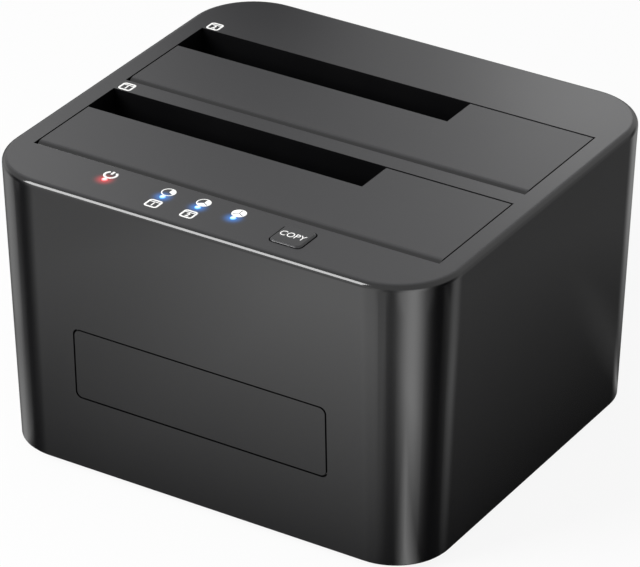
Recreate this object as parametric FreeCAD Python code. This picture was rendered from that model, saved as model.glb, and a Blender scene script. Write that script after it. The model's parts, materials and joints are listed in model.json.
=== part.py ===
import FreeCAD, Part
import math
import os

# Dual-bay drive duplicator: a docking station that takes two bare drives upright
# and copies one to the other.
# Frame: origin in the middle of the footprint on the desk, +X to the right,
# +Y to the back, +Z up, millimetres.

V = FreeCAD.Vector
X_AXIS = V(1, 0, 0)
Y_AXIS = V(0, 1, 0)
Z_AXIS = V(0, 0, 1)

# ---------------------------------------------------------------- drives and bays
drive35_width = 101.6          # a 3.5 inch drive, standard
drive_play = 2.4               # side to side in the bay, both sides together
bay_opening = 31.6             # front to back
bay_divider = 4.8              # deck strip between the two bays
slot_length = 72.0             # mouth for a 2.5 inch drive, at the bay's rear left corner
slot_width = 10.5
bay_width = drive35_width + drive_play

# ---------------------------------------------------------------- housing
body_height = 71.0             # without the feet
front_margin = 15.35           # deck in front of the front bay
rear_margin = 21.65            # deck behind the rear bay
corner_radius = 16.0           # in plan at the deck; less below, as the sides lean in
draft = 2.0                    # degrees, all sides lean in towards the base
wall = 1.8
deck_thickness = 2.0
top_edge_radius = 1.5
bottom_edge_cut = 0.6

# ---------------------------------------------------------------- levels
foot_height = 1.5
base_thickness = 2.4
board_gap = 4.6                # from base cover to main board
board_thickness = 1.6
floor_gap = 2.9                # from main board to bay floor
floor_thickness = 2.0

base_top = foot_height + base_thickness
board_bottom = base_top + board_gap
board_top = board_bottom + board_thickness
floor_bottom = board_top + floor_gap
floor_top = floor_bottom + floor_thickness
deck_top = foot_height + body_height
deck_underside = deck_top - deck_thickness

# ---------------------------------------------------------------- bay frame
frame_wall = 1.4
frame_clearance = 0.3          # to the leaning side walls, at the frame's foot
frame_corner_cut = 2.0
frame_core_edge = 2.0          # solid rim round the hollow between the two wells
guide_rib_thickness = 0.9      # guides a 3.5 inch drive onto its connector
guide_rib_width = 1.6
guide_rib_height = 23.0
guide_rib_inset = 6.0          # from the bay's front and rear walls

lean = math.tan(math.radians(draft))
lean_at_floor = (deck_top - floor_bottom) * lean
body_width = bay_width + 2 * (frame_wall + frame_clearance + wall + lean_at_floor)
body_depth = front_margin + 2 * bay_opening + bay_divider + rear_margin
front_bay_front = -body_depth / 2 + front_margin
rear_bay_front = front_bay_front + bay_opening + bay_divider
bay_fronts = {"front": front_bay_front, "rear": rear_bay_front}
slot_right = -bay_width / 2 + slot_length
frame_front = front_bay_front - frame_wall
frame_rear = rear_bay_front + bay_opening + frame_wall

# ---------------------------------------------------------------- flaps and hinges
flap_thickness = 2.0
flap_side_gap = 0.35
flap_front_gap = 0.35
flap_rear_gap = 0.3
flap_edge_chamfer = 0.2
barrel_radius = 2.2            # the rolled front edge of the flap
hinge_pin_radius = 0.75
running_clearance = 0.05       # radial, pin in barrel and other turning fits
flap_rib_height = 1.3
flap_rib_width = 1.2
flap_cross_ribs = 4
stop_length = 20.0             # lip that rests under the deck and holds the flap level
stop_thickness = 1.2
stop_reach = 0.9
stop_gap = 0.2
stop_side_room = 0.6
stop_end_room = 3.0             # least room from the lip's ends to the flap's

hinge_offset = flap_front_gap + barrel_radius
hinge_z = deck_top - barrel_radius
pin_half_length = bay_width / 2 + frame_wall - 0.1

spring_wire = 0.42             # side of the square wire
spring_mean_radius = 1.175
spring_pitch = 0.6
spring_turns = 1040 / 360      # the two legs leave the coil 40 degrees apart
spring_start_angle = 320
spring_from_right = 14.0       # coil centre from the bay's right wall
spring_pocket_radius = 1.75
spring_pocket_side = 0.6
spring_touch = 0.02            # from a leg's end to what it presses on

# ---------------------------------------------------------------- deck strip
indicator_y = 9.35             # lights behind the deck's front edge
light_xs = [-13.87, -4.8, 4.25]
power_light_x = -29.0
light_tip_radius = 0.7
light_hole_clearance = 0.05
light_collar_side = 3.0
light_collar_thickness = 1.2
light_stem_side = 1.8

button_x = 19.75
button_y = 8.85                # behind the deck's front edge
button_width = 7.85
button_depth = 7.7
button_corner = 1.2
button_gap = 0.3
button_rise = 0.45
button_edge_chamfer = 0.35
button_travel = 0.35
button_flange = 0.8            # wider than the hole, on each side
button_flange_thickness = 0.9
button_flange_gap = 0.2
button_stem = 2.6

strip_board_drop = 9.1         # deck underside to the indicator board's top
strip_board_thickness = 1.2
strip_board_left = -33.0
strip_board_right = 31.2
strip_board_clearance = 0.6
strip_post_xs = [-21.2, 28.4]
strip_post_side = 3.0
led_length = 2.0
led_width = 1.4
led_height = 1.0
led_gap = 0.3

switch_side = 6.0
switch_height = 3.4
plunger_radius = 1.7
plunger_rise = 1.3
plunger_depth = 1.6
plunger_clearance = 0.3
plunger_floor_gap = 0.15
plunger_touch = 0.05

# ---------------------------------------------------------------- badge plate
badge_width = 65.7
badge_height = 18.0
badge_centre = 27.65           # above the housing's lower edge
badge_corner = 1.6
badge_groove = 0.4
badge_depth = 0.8

# ---------------------------------------------------------------- posts, screws and hooks
corner_post_x = 10.4           # in from the widest part of the housing
corner_post_y = 10.0
post_radius = 2.8
post_web = 1.2                 # joins each post to the side wall
base_screw = {"head_radius": 2.6, "head": 1.4, "shank_radius": 1.3, "length": 9.0}
board_screw = {"head_radius": 1.9, "head": 1.2, "shank_radius": 0.9, "length": 4.9}
screw_hole_clearance = 0.3     # round the shank, in the piece that it passes through
screw_head_clearance = 0.3
screw_head_recess = 0.1
thread_clearance = 0.05
thread_end = 0.3               # left over above a screw's tip

board_post_side_inset = 6.0    # posts under the bay floor that the main board lies against
board_post_radius = 2.8
board_post_inset = 4.4         # from the bay walls

hook_side_inset = 12.0         # snap hooks that hold the bay frame under the deck
hook_width = 6.0
hook_thickness = 1.2
hook_gap = 0.15
hook_catch = 0.9
hook_lead = 2.1                # sloped end that rides over the ledge
ledge_drop = 10.0              # ledge's top under the deck
ledge_height = 2.0
ledge_reach = 1.5
ledge_width = 9.0

# ---------------------------------------------------------------- base cover and feet
base_clearance = 0.2
foot_radius = 5.5
foot_side_inset = 19.6         # in from the widest part of the housing
foot_end_inset = 19.5
vent_count = 7                 # slots in each of the two groups
vent_pitch = 4.0
vent_width = 1.8
vent_length = 18.0
vent_group_x = 21.0
vent_y = 8.0
pillar_side = 4.0              # pillars under the bay connectors
pillar_inset = 3.0             # from the connectors' ends

# ---------------------------------------------------------------- boards
board_side = 5.0               # main board in from the widest part of the housing
board_wall_gap = 1.1
board_corner_gap = 0.5         # notches round the corner posts

chip_bevel = 0.15
bridge_chip = {"width": 10.0, "depth": 10.0, "height": 1.4}
bridge_chip_inset = 32.0       # from the bay's right wall
memory_chip = {"width": 5.2, "depth": 5.3, "height": 1.6}
memory_chip_inset = 16.0
chip_row_y = 12.0
crystal = {"width": 5.0, "depth": 3.2, "height": 1.2}
crystal_y = 0.0
regulator = {"width": 4.0, "depth": 4.0, "height": 0.9}
regulator_inset = 22.0         # from either side wall of the bay
regulator_y = -22.0
inductor_side = 7.0
inductor_corner = 1.2
inductor_height = 4.0
inductor_xs = [-37.5, -4.0]
inductor_from_rear = 10.0      # board's rear edge to the inductors' middle
capacitor_radius = 3.15
capacitor_height = 7.7
capacitor_base_side = 6.6
capacitor_base_height = 1.2
capacitor_xs = [-30.5, 18.5]
capacitor_from_rear = 6.0

# ---------------------------------------------------------------- SATA connectors
sata_from_edge = 30.12         # drive's left edge to connector centre, both drive sizes
sata_from_rear = 4.0           # bay's rear wall to connector centre
sata_width = 42.0
sata_depth = 5.4
sata_base_width = 44.6
sata_base_depth = 6.6
sata_base_height = 2.7
sata_above_floor = 5.6
sata_opening_gap = 0.3
sata_slot_depth = 6.3
sata_slot_width = 1.3
sata_key_length = 1.5
sata_key_width = 2.5
sata_power_length = 21.0
sata_signal_length = 10.8
sata_slot_wall = 2.4           # between the two slots
sata_guide_width = 1.6
sata_guide_depth = 2.6
contact_pitch = 1.27
contact_width = 0.7
contact_thickness = 0.3
contact_length = 5.2

# ---------------------------------------------------------------- ports at the back
usb_x = -20.0
usb_length = 17.4
usb_lower_width = 12.0
usb_lower_height = 9.8
usb_upper_width = 8.2
usb_upper_height = 3.4
usb_corner_cut = 1.6
usb_sheet = 0.4
usb_tongue_width = 5.6
usb_tongue_height = 3.2
usb_upper_tongue_width = 4.6
usb_upper_tongue_height = 1.1
usb_tongue_length = 9.0
usb_tongue_set_back = 1.0      # tongue tips behind the mouth
usb_contact_set_back = 2.0
usb_contact_thickness = 0.15
usb_lower_contact_width = 1.0
usb_lower_contact_x = 1.25
usb_upper_contact_width = 0.5
usb_upper_contact_pitch = 0.85
usb_upper_contact_count = 5
port_gap = 0.3

jack_x = 8.0
jack_width = 9.0
jack_height = 11.0
jack_length = 14.0
jack_axis_height = 6.5
jack_collar_radius = 3.9
jack_bore_radius = 3.15
jack_bore_length = 9.5
jack_pin_radius = 1.0
jack_pin_length = 9.0
jack_pin_root_radius = 1.5
jack_pin_root = 2.0

rocker_x = 32.0
rocker_width = 12.0
rocker_height = 7.2
rocker_rise = 2.7              # pivot axis to the paddle's middle
rocker_paddle_slope = 9.0      # degrees, each half of the paddle
rocker_swing = 18.0
rocker_room = 0.7
rocker_skirt = 4.6             # pivot axis to the paddle's inner edge
rocker_side_gap = 0.4          # above and below the paddle
rocker_edge_cut = 0.4
rocker_skirt_cut_x = 2.5
rocker_skirt_cut_y = 1.5
trunnion_radius = 0.9
trunnion_length = 0.9
trunnion_end_gap = 0.1
rocker_case_wall = 1.0
rocker_case_depth = 9.5
rocker_pivot_in = 1.0          # pivot axis behind the case's outer face
terminal_width = 2.0
terminal_thickness = 0.6
terminal_length = 2.6

port_face_gap = 0.1            # connector bodies to the wall, at board level
port_recess = 0.2              # port mouths behind the leaning wall's outer face

# ---------------------------------------------------------------- ribbon cable
ribbon_x = -6.0
ribbon_width = 8.0
ribbon_thickness = 0.3
ribbon_bow = 1.6
ribbon_bend = 9.0
socket_width = 11.0
socket_depth = 3.6
socket_height = 3.0
socket_entry = 1.8


# ================================================================ helpers
def half_width(z, offset=0.0):
    """Half the housing's width at height z, offset in from its outer skin."""
    return body_width / 2 - (deck_top - z) * lean - offset


def half_depth(z, offset=0.0):
    """Half the housing's depth at height z, offset in from its outer skin."""
    return body_depth / 2 - (deck_top - z) * lean - offset


def box(x0, x1, y0, y1, z0, z1):
    return Part.makeBox(x1 - x0, y1 - y0, z1 - z0, V(x0, y0, z0))


def column(radius, x, y, z0, z1):
    return Part.makeCylinder(radius, z1 - z0, V(x, y, z0), Z_AXIS)


def rod_x(radius, x0, x1, y, z):
    return Part.makeCylinder(radius, x1 - x0, V(x0, y, z), X_AXIS)


def rod_y(radius, y0, y1, x, z):
    return Part.makeCylinder(radius, y1 - y0, V(x, y0, z), Y_AXIS)


def rounded_outline(half_x, half_y, radius, z, x=0.0, y=0.0):
    """A closed rectangle with round corners, centred at x, y."""
    edges = []
    ends = []
    for quarter, (sx, sy) in enumerate(((1, 1), (-1, 1), (-1, -1), (1, -1))):
        centre = V(x + sx * (half_x - radius), y + sy * (half_y - radius), z)
        start = math.pi / 2 * quarter
        arc = Part.Arc(Part.Circle(centre, Z_AXIS, radius), start, start + math.pi / 2)
        edges.append(arc.toShape())
        ends.append((arc.StartPoint, arc.EndPoint))
    outline = []
    for quarter in range(4):
        outline.append(edges[quarter])
        here = ends[quarter][1]
        there = ends[(quarter + 1) % 4][0]
        outline.append(Part.LineSegment(here, there).toShape())
    return Part.Wire(outline)


def rounded_plate(half_x, half_y, radius, z0, z1, x=0.0, y=0.0):
    face = Part.Face(rounded_outline(half_x, half_y, radius, z0, x, y))
    return face.extrude(V(0, 0, z1 - z0))


def leaning_block(offset, z0, z1):
    """The housing's own form between two heights, offset in from its skin."""
    outlines = []
    for z in (z0, z1):
        radius = corner_radius - (deck_top - z) * lean - offset
        outlines.append(rounded_outline(half_width(z, offset), half_depth(z, offset), radius, z))
    return Part.makeLoft(outlines, True, True)


def edges_at(shape, z):
    """Edges that lie flat at height z."""
    found = []
    for edge in shape.Edges:
        low, high = edge.BoundBox.ZMin, edge.BoundBox.ZMax
        if abs(low - z) < 1e-4 and abs(high - z) < 1e-4:
            found.append(edge)
    return found


def prism(points, direction):
    """A straight prism on a closed outline of points."""
    corners = [V(*point) for point in points]
    face = Part.Face(Part.makePolygon(corners + corners[:1]))
    return face.extrude(direction)


def one(shape):
    """A fused shape as a single clean solid."""
    clean = shape.removeSplitter()
    return clean.Solids[0] if len(clean.Solids) == 1 else clean


def group(solids):
    return solids[0] if len(solids) == 1 else Part.makeCompound(solids)


def on_front(shape, z):
    """Stand a shape built flat on XY up on the leaning front face at height z."""
    placed = shape.copy()
    placed.rotate(V(0, 0, 0), X_AXIS, 90 + draft)
    placed.translate(V(0, -half_depth(z), z))
    return placed


def post(side, x, y, z0, z1):
    """A square post."""
    return box(x - side / 2, x + side / 2, y - side / 2, y + side / 2, z0, z1)


def snap_hook(face, out, ledge_z):
    """Hook that hangs from the deck and catches under a ledge at ledge_z.

    face is the middle of the ledge's side, out the way from it to the hook.
    """
    low = ledge_z - hook_gap
    profile = [(hook_gap, deck_underside), (hook_gap + hook_thickness, deck_underside),
               (hook_gap + hook_thickness, low - hook_lead), (-hook_catch, low - hook_lead / 3),
               (-hook_catch, low), (hook_gap, low)]
    across = out.cross(Z_AXIS) * hook_width
    start = face - across / 2
    points = [(start.x + out.x * u, start.y + out.y * u, z) for u, z in profile]
    return prism(points, across)


def upward_screw(size, x, y, head_top):
    """A pan head screw driven from below; its head's upper face is at head_top."""
    head = column(size["head_radius"], x, y, head_top - size["head"], head_top)
    shank = column(size["shank_radius"], x, y, head_top, head_top + size["length"])
    return one(head.fuse(shank))


def pilot(size, x, y, head_top):
    """The hole that the shank of a screw with its head at head_top turns into."""
    radius = size["shank_radius"] + thread_clearance
    return column(radius, x, y, head_top, head_top + size["length"] + thread_end)


# ================================================================ shared places
post_spots = []
for side_x in (-1, 1):
    for side_y in (-1, 1):
        post_x = side_x * (body_width / 2 - corner_post_x)
        post_spots.append((post_x, side_y * (body_depth / 2 - corner_post_y)))

board_post_x = bay_width / 2 - board_post_side_inset
hook_x = bay_width / 2 - hook_side_inset
foot_x = body_width / 2 - foot_side_inset
foot_y = body_depth / 2 - foot_end_inset
regulator_x = bay_width / 2 - regulator_inset
board_front_row = front_bay_front + board_post_inset
board_rear_row = frame_rear - frame_wall - board_post_inset
board_screw_spots = [(-board_post_x, board_front_row), (board_post_x, board_rear_row)]
board_rest_spots = [(board_post_x, board_front_row), (-board_post_x, board_rear_row)]

strip_top = deck_underside - strip_board_drop
strip_bottom = strip_top - strip_board_thickness
lights_y = -body_depth / 2 + indicator_y
button_centre_y = -body_depth / 2 + button_y
base_screw_seat = foot_height + base_screw["head"] + screw_head_recess
ledge_top = deck_underside - ledge_drop
ledge_bottom = ledge_top - ledge_height

sata_x = -drive35_width / 2 + sata_from_edge
sata_top = floor_top + sata_above_floor
sata_ys = {}
for bay, bay_front in bay_fronts.items():
    sata_ys[bay] = bay_front + bay_opening - sata_from_rear

port_face = half_depth(board_top, wall) - port_face_gap
usb_mouth = half_depth(board_top, port_recess)
jack_z = board_top + jack_axis_height
rocker_case_height = rocker_height + 2 * (rocker_case_wall + rocker_side_gap)
rocker_z = board_top + rocker_case_height / 2
rocker_pivot_y = port_face - rocker_pivot_in


def usb_outline(inset, y):
    """The port's stepped front outline, inset in from the metal shell's outside."""
    low = usb_lower_width / 2 - inset
    top = usb_upper_width / 2 - inset
    z0 = board_top + inset
    z1 = board_top + usb_lower_height - inset
    z2 = board_top + usb_lower_height + usb_upper_height - inset
    right = [(low, z0), (low, z1 - usb_corner_cut), (low - usb_corner_cut, z1)]
    right += [(top, z1), (top, z2)]
    points = [(usb_x + x, y, z) for x, z in right]
    points += [(usb_x - x, y, z) for x, z in reversed(right)]
    return points


# ================================================================ housing
def light_holes():
    radius = light_tip_radius + light_hole_clearance
    holes = []
    for x in [power_light_x] + light_xs:
        holes.append(column(radius, x, lights_y, deck_underside - 1, deck_top + 1))
    return holes


def port_cutouts():
    """Openings in the rear wall for the USB port, the DC jack and the rocker."""
    inner = port_face - 2 * wall
    outer = body_depth / 2 + wall
    depth = V(0, outer - inner, 0)
    usb = prism(usb_outline(-port_gap, inner), depth)
    jack = rod_y(jack_collar_radius + port_gap, inner, outer, jack_x, jack_z)
    half_x = rocker_width / 2 + rocker_room
    half_z = rocker_height / 2 + port_gap
    rocker = box(rocker_x - half_x, rocker_x + half_x, inner, outer, rocker_z - half_z, rocker_z + half_z)
    return [usb, jack, rocker]


def badge_recess():
    plate = rounded_plate(badge_width / 2, badge_height / 2, badge_corner, -badge_depth, 1.0)
    return on_front(plate, foot_height + badge_centre)


def housing_shell():
    """The deck and side walls in one moulding, with the posts that hang from the deck."""
    outer = leaning_block(0.0, foot_height, deck_top)
    outer = outer.makeFillet(top_edge_radius, edges_at(outer, deck_top))
    outer = outer.makeChamfer(bottom_edge_cut, edges_at(outer, foot_height))
    shell = outer.cut(leaning_block(wall, foot_height - 1, deck_underside))

    posts = []
    inside = leaning_block(wall / 2, base_top, deck_underside)
    for x, y in post_spots:
        posts.append(column(post_radius, x, y, base_top, deck_underside))
        side = 1 if x > 0 else -1
        reach = side * body_width / 2
        posts.append(box(min(x, reach), max(x, reach), y - post_web / 2, y + post_web / 2,
                         base_top, deck_underside).common(inside))
    for x in strip_post_xs:
        posts.append(post(strip_post_side, x, button_centre_y, strip_top, deck_underside))
    for x, way in ((strip_board_left, -X_AXIS), (strip_board_right, X_AXIS)):
        posts.append(snap_hook(V(x, button_centre_y, 0), way, strip_bottom))
    for x in (-hook_x, hook_x):
        posts.append(snap_hook(V(x, frame_front - ledge_reach, 0), -Y_AXIS, ledge_bottom))
        posts.append(snap_hook(V(x, frame_rear + ledge_reach, 0), Y_AXIS, ledge_bottom))
    shell = shell.fuse(posts)

    cuts = []
    for bay_front in bay_fronts.values():
        rear = bay_front + bay_opening
        cuts.append(box(-bay_width / 2, bay_width / 2, bay_front, rear, deck_underside - 1, deck_top + 1))
        hinge_y = bay_front + hinge_offset
        cuts.append(rod_x(hinge_pin_radius + running_clearance, -pin_half_length, pin_half_length,
                          hinge_y, hinge_z))
    cuts.append(rounded_plate(button_width / 2 + button_gap, button_depth / 2 + button_gap,
                              button_corner + button_gap, deck_underside - 1, deck_top + 1,
                              button_x, button_centre_y))
    for x, y in post_spots:
        cuts.append(pilot(base_screw, x, y, base_screw_seat))
    cuts += light_holes() + port_cutouts() + [badge_recess()]
    return one(shell.cut(cuts))


def badge_plate():
    """Plain inset plate on the front face, a narrow groove around it."""
    half_x = badge_width / 2 - badge_groove
    half_y = badge_height / 2 - badge_groove
    plate = rounded_plate(half_x, half_y, badge_corner - badge_groove / 2, -badge_depth, 0.0)
    return on_front(plate, foot_height + badge_centre)


# ================================================================ base cover and feet
def base_cover():
    """Flat cover inside the housing's lower rim, with vents and board pillars."""
    plate = leaning_block(wall + base_clearance, foot_height, base_top)
    pillars = []
    reach = sata_width / 2 - pillar_inset
    for y in sata_ys.values():
        for x in (sata_x - reach, sata_x + reach):
            pillars.append(post(pillar_side, x, y, base_top, board_bottom))
    cover = plate.fuse(pillars)

    cuts = []
    for x, y in post_spots:
        hole = base_screw["shank_radius"] + screw_hole_clearance
        cuts.append(column(hole, x, y, foot_height - 1, base_top + 1))
        head_room = base_screw["head_radius"] + screw_head_clearance
        cuts.append(column(head_room, x, y, foot_height - 1, base_screw_seat))
    for side in (-1, 1):
        for index in range(vent_count):
            x = side * vent_group_x + (index - (vent_count - 1) / 2) * vent_pitch
            cuts.append(box(x - vent_width / 2, x + vent_width / 2, vent_y - vent_length / 2,
                            vent_y + vent_length / 2, foot_height - 1, base_top + 1))
    return one(cover.cut(cuts))


def base_screws():
    return group([upward_screw(base_screw, x, y, base_screw_seat) for x, y in post_spots])


def rubber_feet():
    feet = []
    for x in (-foot_x, foot_x):
        for y in (-foot_y, foot_y):
            feet.append(column(foot_radius, x, y, 0.0, foot_height))
    return group(feet)


# ================================================================ bay frame
def stop_window(bay_front):
    """Room in the bay's rear wall for the flap's stop lip to swing out of."""
    rear = bay_front + bay_opening
    arm = rear - (bay_front + hinge_offset)
    drop = math.sqrt((arm + stop_reach) ** 2 - arm ** 2) + stop_thickness
    left, right = stop_span()
    return box(left - stop_side_room, right + stop_side_room, rear - 0.5, rear + frame_wall + 0.5,
               hinge_z - drop, deck_underside + 1)


def guide_ribs(bay_front):
    """Upright ribs low on the side walls, their tops sloped to lead a drive in."""
    ribs = []
    spots = (bay_front + guide_rib_inset, bay_front + bay_opening - guide_rib_inset - guide_rib_width)
    for side in (-1, 1):
        outer = side * bay_width / 2
        inner = outer - side * guide_rib_thickness
        top = floor_top + guide_rib_height
        for y in spots:
            profile = [(outer, y, floor_top), (inner, y, floor_top),
                       (inner, y, top - 2 * guide_rib_thickness), (outer, y, top)]
            ribs.append(prism(profile, V(0, guide_rib_width, 0)))
    return ribs


def bay_frame():
    """Both drive wells in one moulding, hooked up under the deck."""
    outer_x = bay_width / 2 + frame_wall
    cut = frame_corner_cut
    outline = []
    for x, y, dx, dy in ((outer_x, frame_front, -cut, cut), (outer_x, frame_rear, -cut, -cut),
                         (-outer_x, frame_rear, cut, -cut), (-outer_x, frame_front, cut, cut)):
        pair = [(x + dx, y, floor_bottom), (x, y + dy, floor_bottom)]
        outline += pair if dx * dy < 0 else pair[::-1]
    frame = prism(outline, V(0, 0, deck_underside - floor_bottom))

    cuts = []
    for bay, bay_front in bay_fronts.items():
        rear = bay_front + bay_opening
        cuts.append(box(-bay_width / 2, bay_width / 2, bay_front, rear, floor_top, deck_underside + 1))
        half_x = sata_width / 2 + sata_opening_gap
        half_y = sata_depth / 2 + sata_opening_gap
        y = sata_ys[bay]
        cuts.append(box(sata_x - half_x, sata_x + half_x, y - half_y, y + half_y,
                        floor_bottom - 1, floor_top + 1))
        cuts.append(stop_window(bay_front))
        cuts.append(rod_x(hinge_pin_radius + running_clearance, -pin_half_length, pin_half_length,
                          bay_front + hinge_offset, hinge_z))
    core_half = bay_width / 2 - frame_core_edge
    core_y0 = front_bay_front + bay_opening + frame_wall
    core_y1 = rear_bay_front - frame_wall
    cuts.append(box(-core_half, core_half, core_y0, core_y1, floor_bottom - 1,
                    deck_underside - frame_core_edge))
    frame = frame.cut(cuts)

    adds = []
    for bay_front in bay_fronts.values():
        adds += guide_ribs(bay_front)
    for x, y in board_screw_spots:
        adds.append(column(board_post_radius, x, y, board_top, floor_bottom))
    for x, y in board_rest_spots:
        adds.append(post(2 * board_post_radius, x, y, board_top, floor_bottom))
    for x in (-hook_x, hook_x):
        half = ledge_width / 2
        adds.append(box(x - half, x + half, frame_front - ledge_reach, frame_front, ledge_bottom, ledge_top))
        adds.append(box(x - half, x + half, frame_rear, frame_rear + ledge_reach, ledge_bottom, ledge_top))
    frame = frame.fuse(adds)
    return one(frame.cut([pilot(board_screw, x, y, board_bottom) for x, y in board_screw_spots]))


# ================================================================ flaps, pins and springs
def stop_span():
    """Left and right ends of the flap's stop lip, centred on the flap's full-depth part."""
    middle = (slot_right + bay_width / 2) / 2
    half = min(stop_length, bay_width / 2 - slot_right - 2 * stop_end_room) / 2
    return middle - half, middle + half


def spring_x():
    return bay_width / 2 - spring_from_right


def flap(bay_front):
    """Notched cover over a bay; its front edge is rolled round the hinge pin."""
    rear = bay_front + bay_opening
    hinge_y = bay_front + hinge_offset
    half = bay_width / 2 - flap_side_gap
    back = rear - flap_rear_gap
    notch_y = rear - slot_width
    underside = deck_top - flap_thickness

    outline = [(-half, hinge_y, underside), (half, hinge_y, underside), (half, back, underside),
               (slot_right, back, underside), (slot_right, notch_y, underside),
               (-half, notch_y, underside)]
    plate = prism(outline, V(0, 0, flap_thickness))
    rims = [edge for edge in edges_at(plate, deck_top) if edge.BoundBox.YMax > hinge_y + 0.01]
    rims = [edge for edge in rims if edge.BoundBox.YMin > hinge_y + 0.01]
    plate = plate.makeChamfer(flap_edge_chamfer, rims)

    rib_z = underside - flap_rib_height
    rib = flap_rib_width
    inset = 1.0
    adds = [rod_x(barrel_radius, -half, half, hinge_y, hinge_z)]
    adds.append(box(slot_right + inset, half - inset, back - inset - rib, back - inset, rib_z, underside))
    adds.append(box(-half + inset, half - inset, notch_y - inset - rib, notch_y - inset, rib_z, underside))
    for index in range(flap_cross_ribs):
        x = -half + (index + 0.7) * 2 * half / (flap_cross_ribs + 0.4)
        adds.append(box(x - rib / 2, x + rib / 2, hinge_y + barrel_radius / 2, notch_y - inset,
                        rib_z, underside))
    left, right = stop_span()
    stop_top = deck_underside - stop_gap
    adds.append(box(left, right, back - inset - rib, rear + stop_reach, stop_top - stop_thickness, stop_top))
    cover = plate.fuse(adds)

    middle = spring_x()
    pocket = (spring_turns * spring_pitch + spring_wire) / 2 + spring_pocket_side
    cuts = [rod_x(hinge_pin_radius + running_clearance, -half - 1, half + 1, hinge_y, hinge_z)]
    cuts.append(rod_x(spring_pocket_radius, middle - pocket, middle + pocket, hinge_y, hinge_z))
    cuts.append(box(middle - pocket, middle + pocket, hinge_y - barrel_radius - 0.5,
                    hinge_y + barrel_radius + 0.5, hinge_z - barrel_radius - 0.5,
                    min(hinge_z, underside)))
    return one(cover.cut(cuts))


def flap_pin(bay_front):
    hinge_y = bay_front + hinge_offset
    return rod_x(hinge_pin_radius, -pin_half_length, pin_half_length, hinge_y, hinge_z)


def wire_leg(start, direction, length):
    """A straight leg of spring wire, square on to the hinge, that leaves the coil at start."""
    half = spring_wire / 2
    across = direction.cross(X_AXIS)
    corners = []
    for u, v in ((-half, -half), (half, -half), (half, half), (-half, half)):
        corner = start + across * u + X_AXIS * v - direction * half
        corners.append((corner.x, corner.y, corner.z))
    return prism(corners, direction * (length + half))


def flap_spring(bay_front):
    """Torsion spring round the pin: one leg on the bay's front wall, one under the flap."""
    hinge_y = bay_front + hinge_offset
    width = spring_turns * spring_pitch
    low_x = spring_x() - width / 2
    half = spring_wire / 2
    section = []
    for u, z in ((-half, -half), (half, -half), (half, half), (-half, half), (-half, -half)):
        section.append(V(spring_mean_radius + u, 0, z))
    helix = Part.makeHelix(spring_pitch, width, spring_mean_radius)
    coil = Part.Wire(helix).makePipeShell([Part.makePolygon(section)], True, True)
    coil.rotate(V(0, 0, 0), Z_AXIS, spring_start_angle)
    coil.rotate(V(0, 0, 0), V(1, 1, 1), 120)
    coil.translate(V(low_x, hinge_y, hinge_z))

    def point(angle, x):
        return V(x, hinge_y + spring_mean_radius * math.cos(angle),
                 hinge_z + spring_mean_radius * math.sin(angle))

    low = math.radians(spring_start_angle)
    wall_leg_way = V(0, math.sin(low), -math.cos(low))
    low_point = point(low, low_x)
    to_wall = low_point.y - bay_front - half - spring_touch
    high = low + math.radians(360 * spring_turns)
    flap_leg_way = V(0, -math.sin(high), math.cos(high))
    high_point = point(high, low_x + width)
    to_flap = deck_top - flap_thickness - half - spring_touch - high_point.z
    legs = [wire_leg(low_point, wall_leg_way, to_wall / abs(wall_leg_way.y)),
            wire_leg(high_point, flap_leg_way, to_flap / abs(flap_leg_way.z))]
    return one(coil.fuse(legs))


# ================================================================ indicator strip
def light_pipe(x):
    """Clear square stem from just above an LED, with a round tip flush with the deck."""
    tip = column(light_tip_radius, x, lights_y, deck_underside, deck_top)
    stem = post(light_stem_side, x, lights_y, strip_top + led_height + led_gap, deck_underside)
    return [tip, stem]


def power_light_pipe():
    collar = post(light_collar_side, power_light_x, lights_y,
                  deck_underside - light_collar_thickness, deck_underside)
    return one(collar.fuse(light_pipe(power_light_x)))


def progress_light_pipes():
    """Three light pipes moulded on one carrier bar under the deck."""
    half = light_stem_side / 2
    bar = box(light_xs[0], light_xs[-1], lights_y - half, lights_y + half,
              deck_underside - light_collar_thickness, deck_underside)
    parts = []
    for x in light_xs:
        parts += light_pipe(x)
    return one(bar.fuse(parts))


def led(x):
    return box(x - led_length / 2, x + led_length / 2, lights_y - led_width / 2, lights_y + led_width / 2,
               strip_top, strip_top + led_height)


def indicator_board():
    """Small board that hangs under the deck strip, against two posts and in two hooks."""
    front = -half_depth(strip_bottom, wall + strip_board_clearance)
    rear = frame_front - strip_board_clearance
    return box(strip_board_left, strip_board_right, front, rear, strip_bottom, strip_top)


def tact_switch():
    top = strip_top + switch_height
    body = post(switch_side, button_x, button_centre_y, strip_top, top)
    well = column(plunger_radius + plunger_clearance, button_x, button_centre_y,
                  top - plunger_depth - button_travel - plunger_floor_gap, top + 1)
    return one(body.cut(well))


def tact_plunger():
    top = strip_top + switch_height
    return column(plunger_radius, button_x, button_centre_y, top - plunger_depth, top + plunger_rise)


def copy_button():
    """Button cap with a hidden flange that keeps it under the deck, and a stem."""
    top = deck_top + button_rise
    flange_top = deck_underside - button_flange_gap
    cap = rounded_plate(button_width / 2, button_depth / 2, button_corner, flange_top - 0.1, top,
                        button_x, button_centre_y)
    cap = cap.makeChamfer(button_edge_chamfer, edges_at(cap, top))
    flange_x = button_width / 2 + button_flange
    flange_y = button_depth / 2 + button_flange
    flange = box(button_x - flange_x, button_x + flange_x, button_centre_y - flange_y,
                 button_centre_y + flange_y, flange_top - button_flange_thickness, flange_top)
    stem = post(button_stem, button_x, button_centre_y,
                strip_top + switch_height + plunger_rise + plunger_touch, flange_top)
    return one(cap.fuse([flange, stem]))


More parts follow.
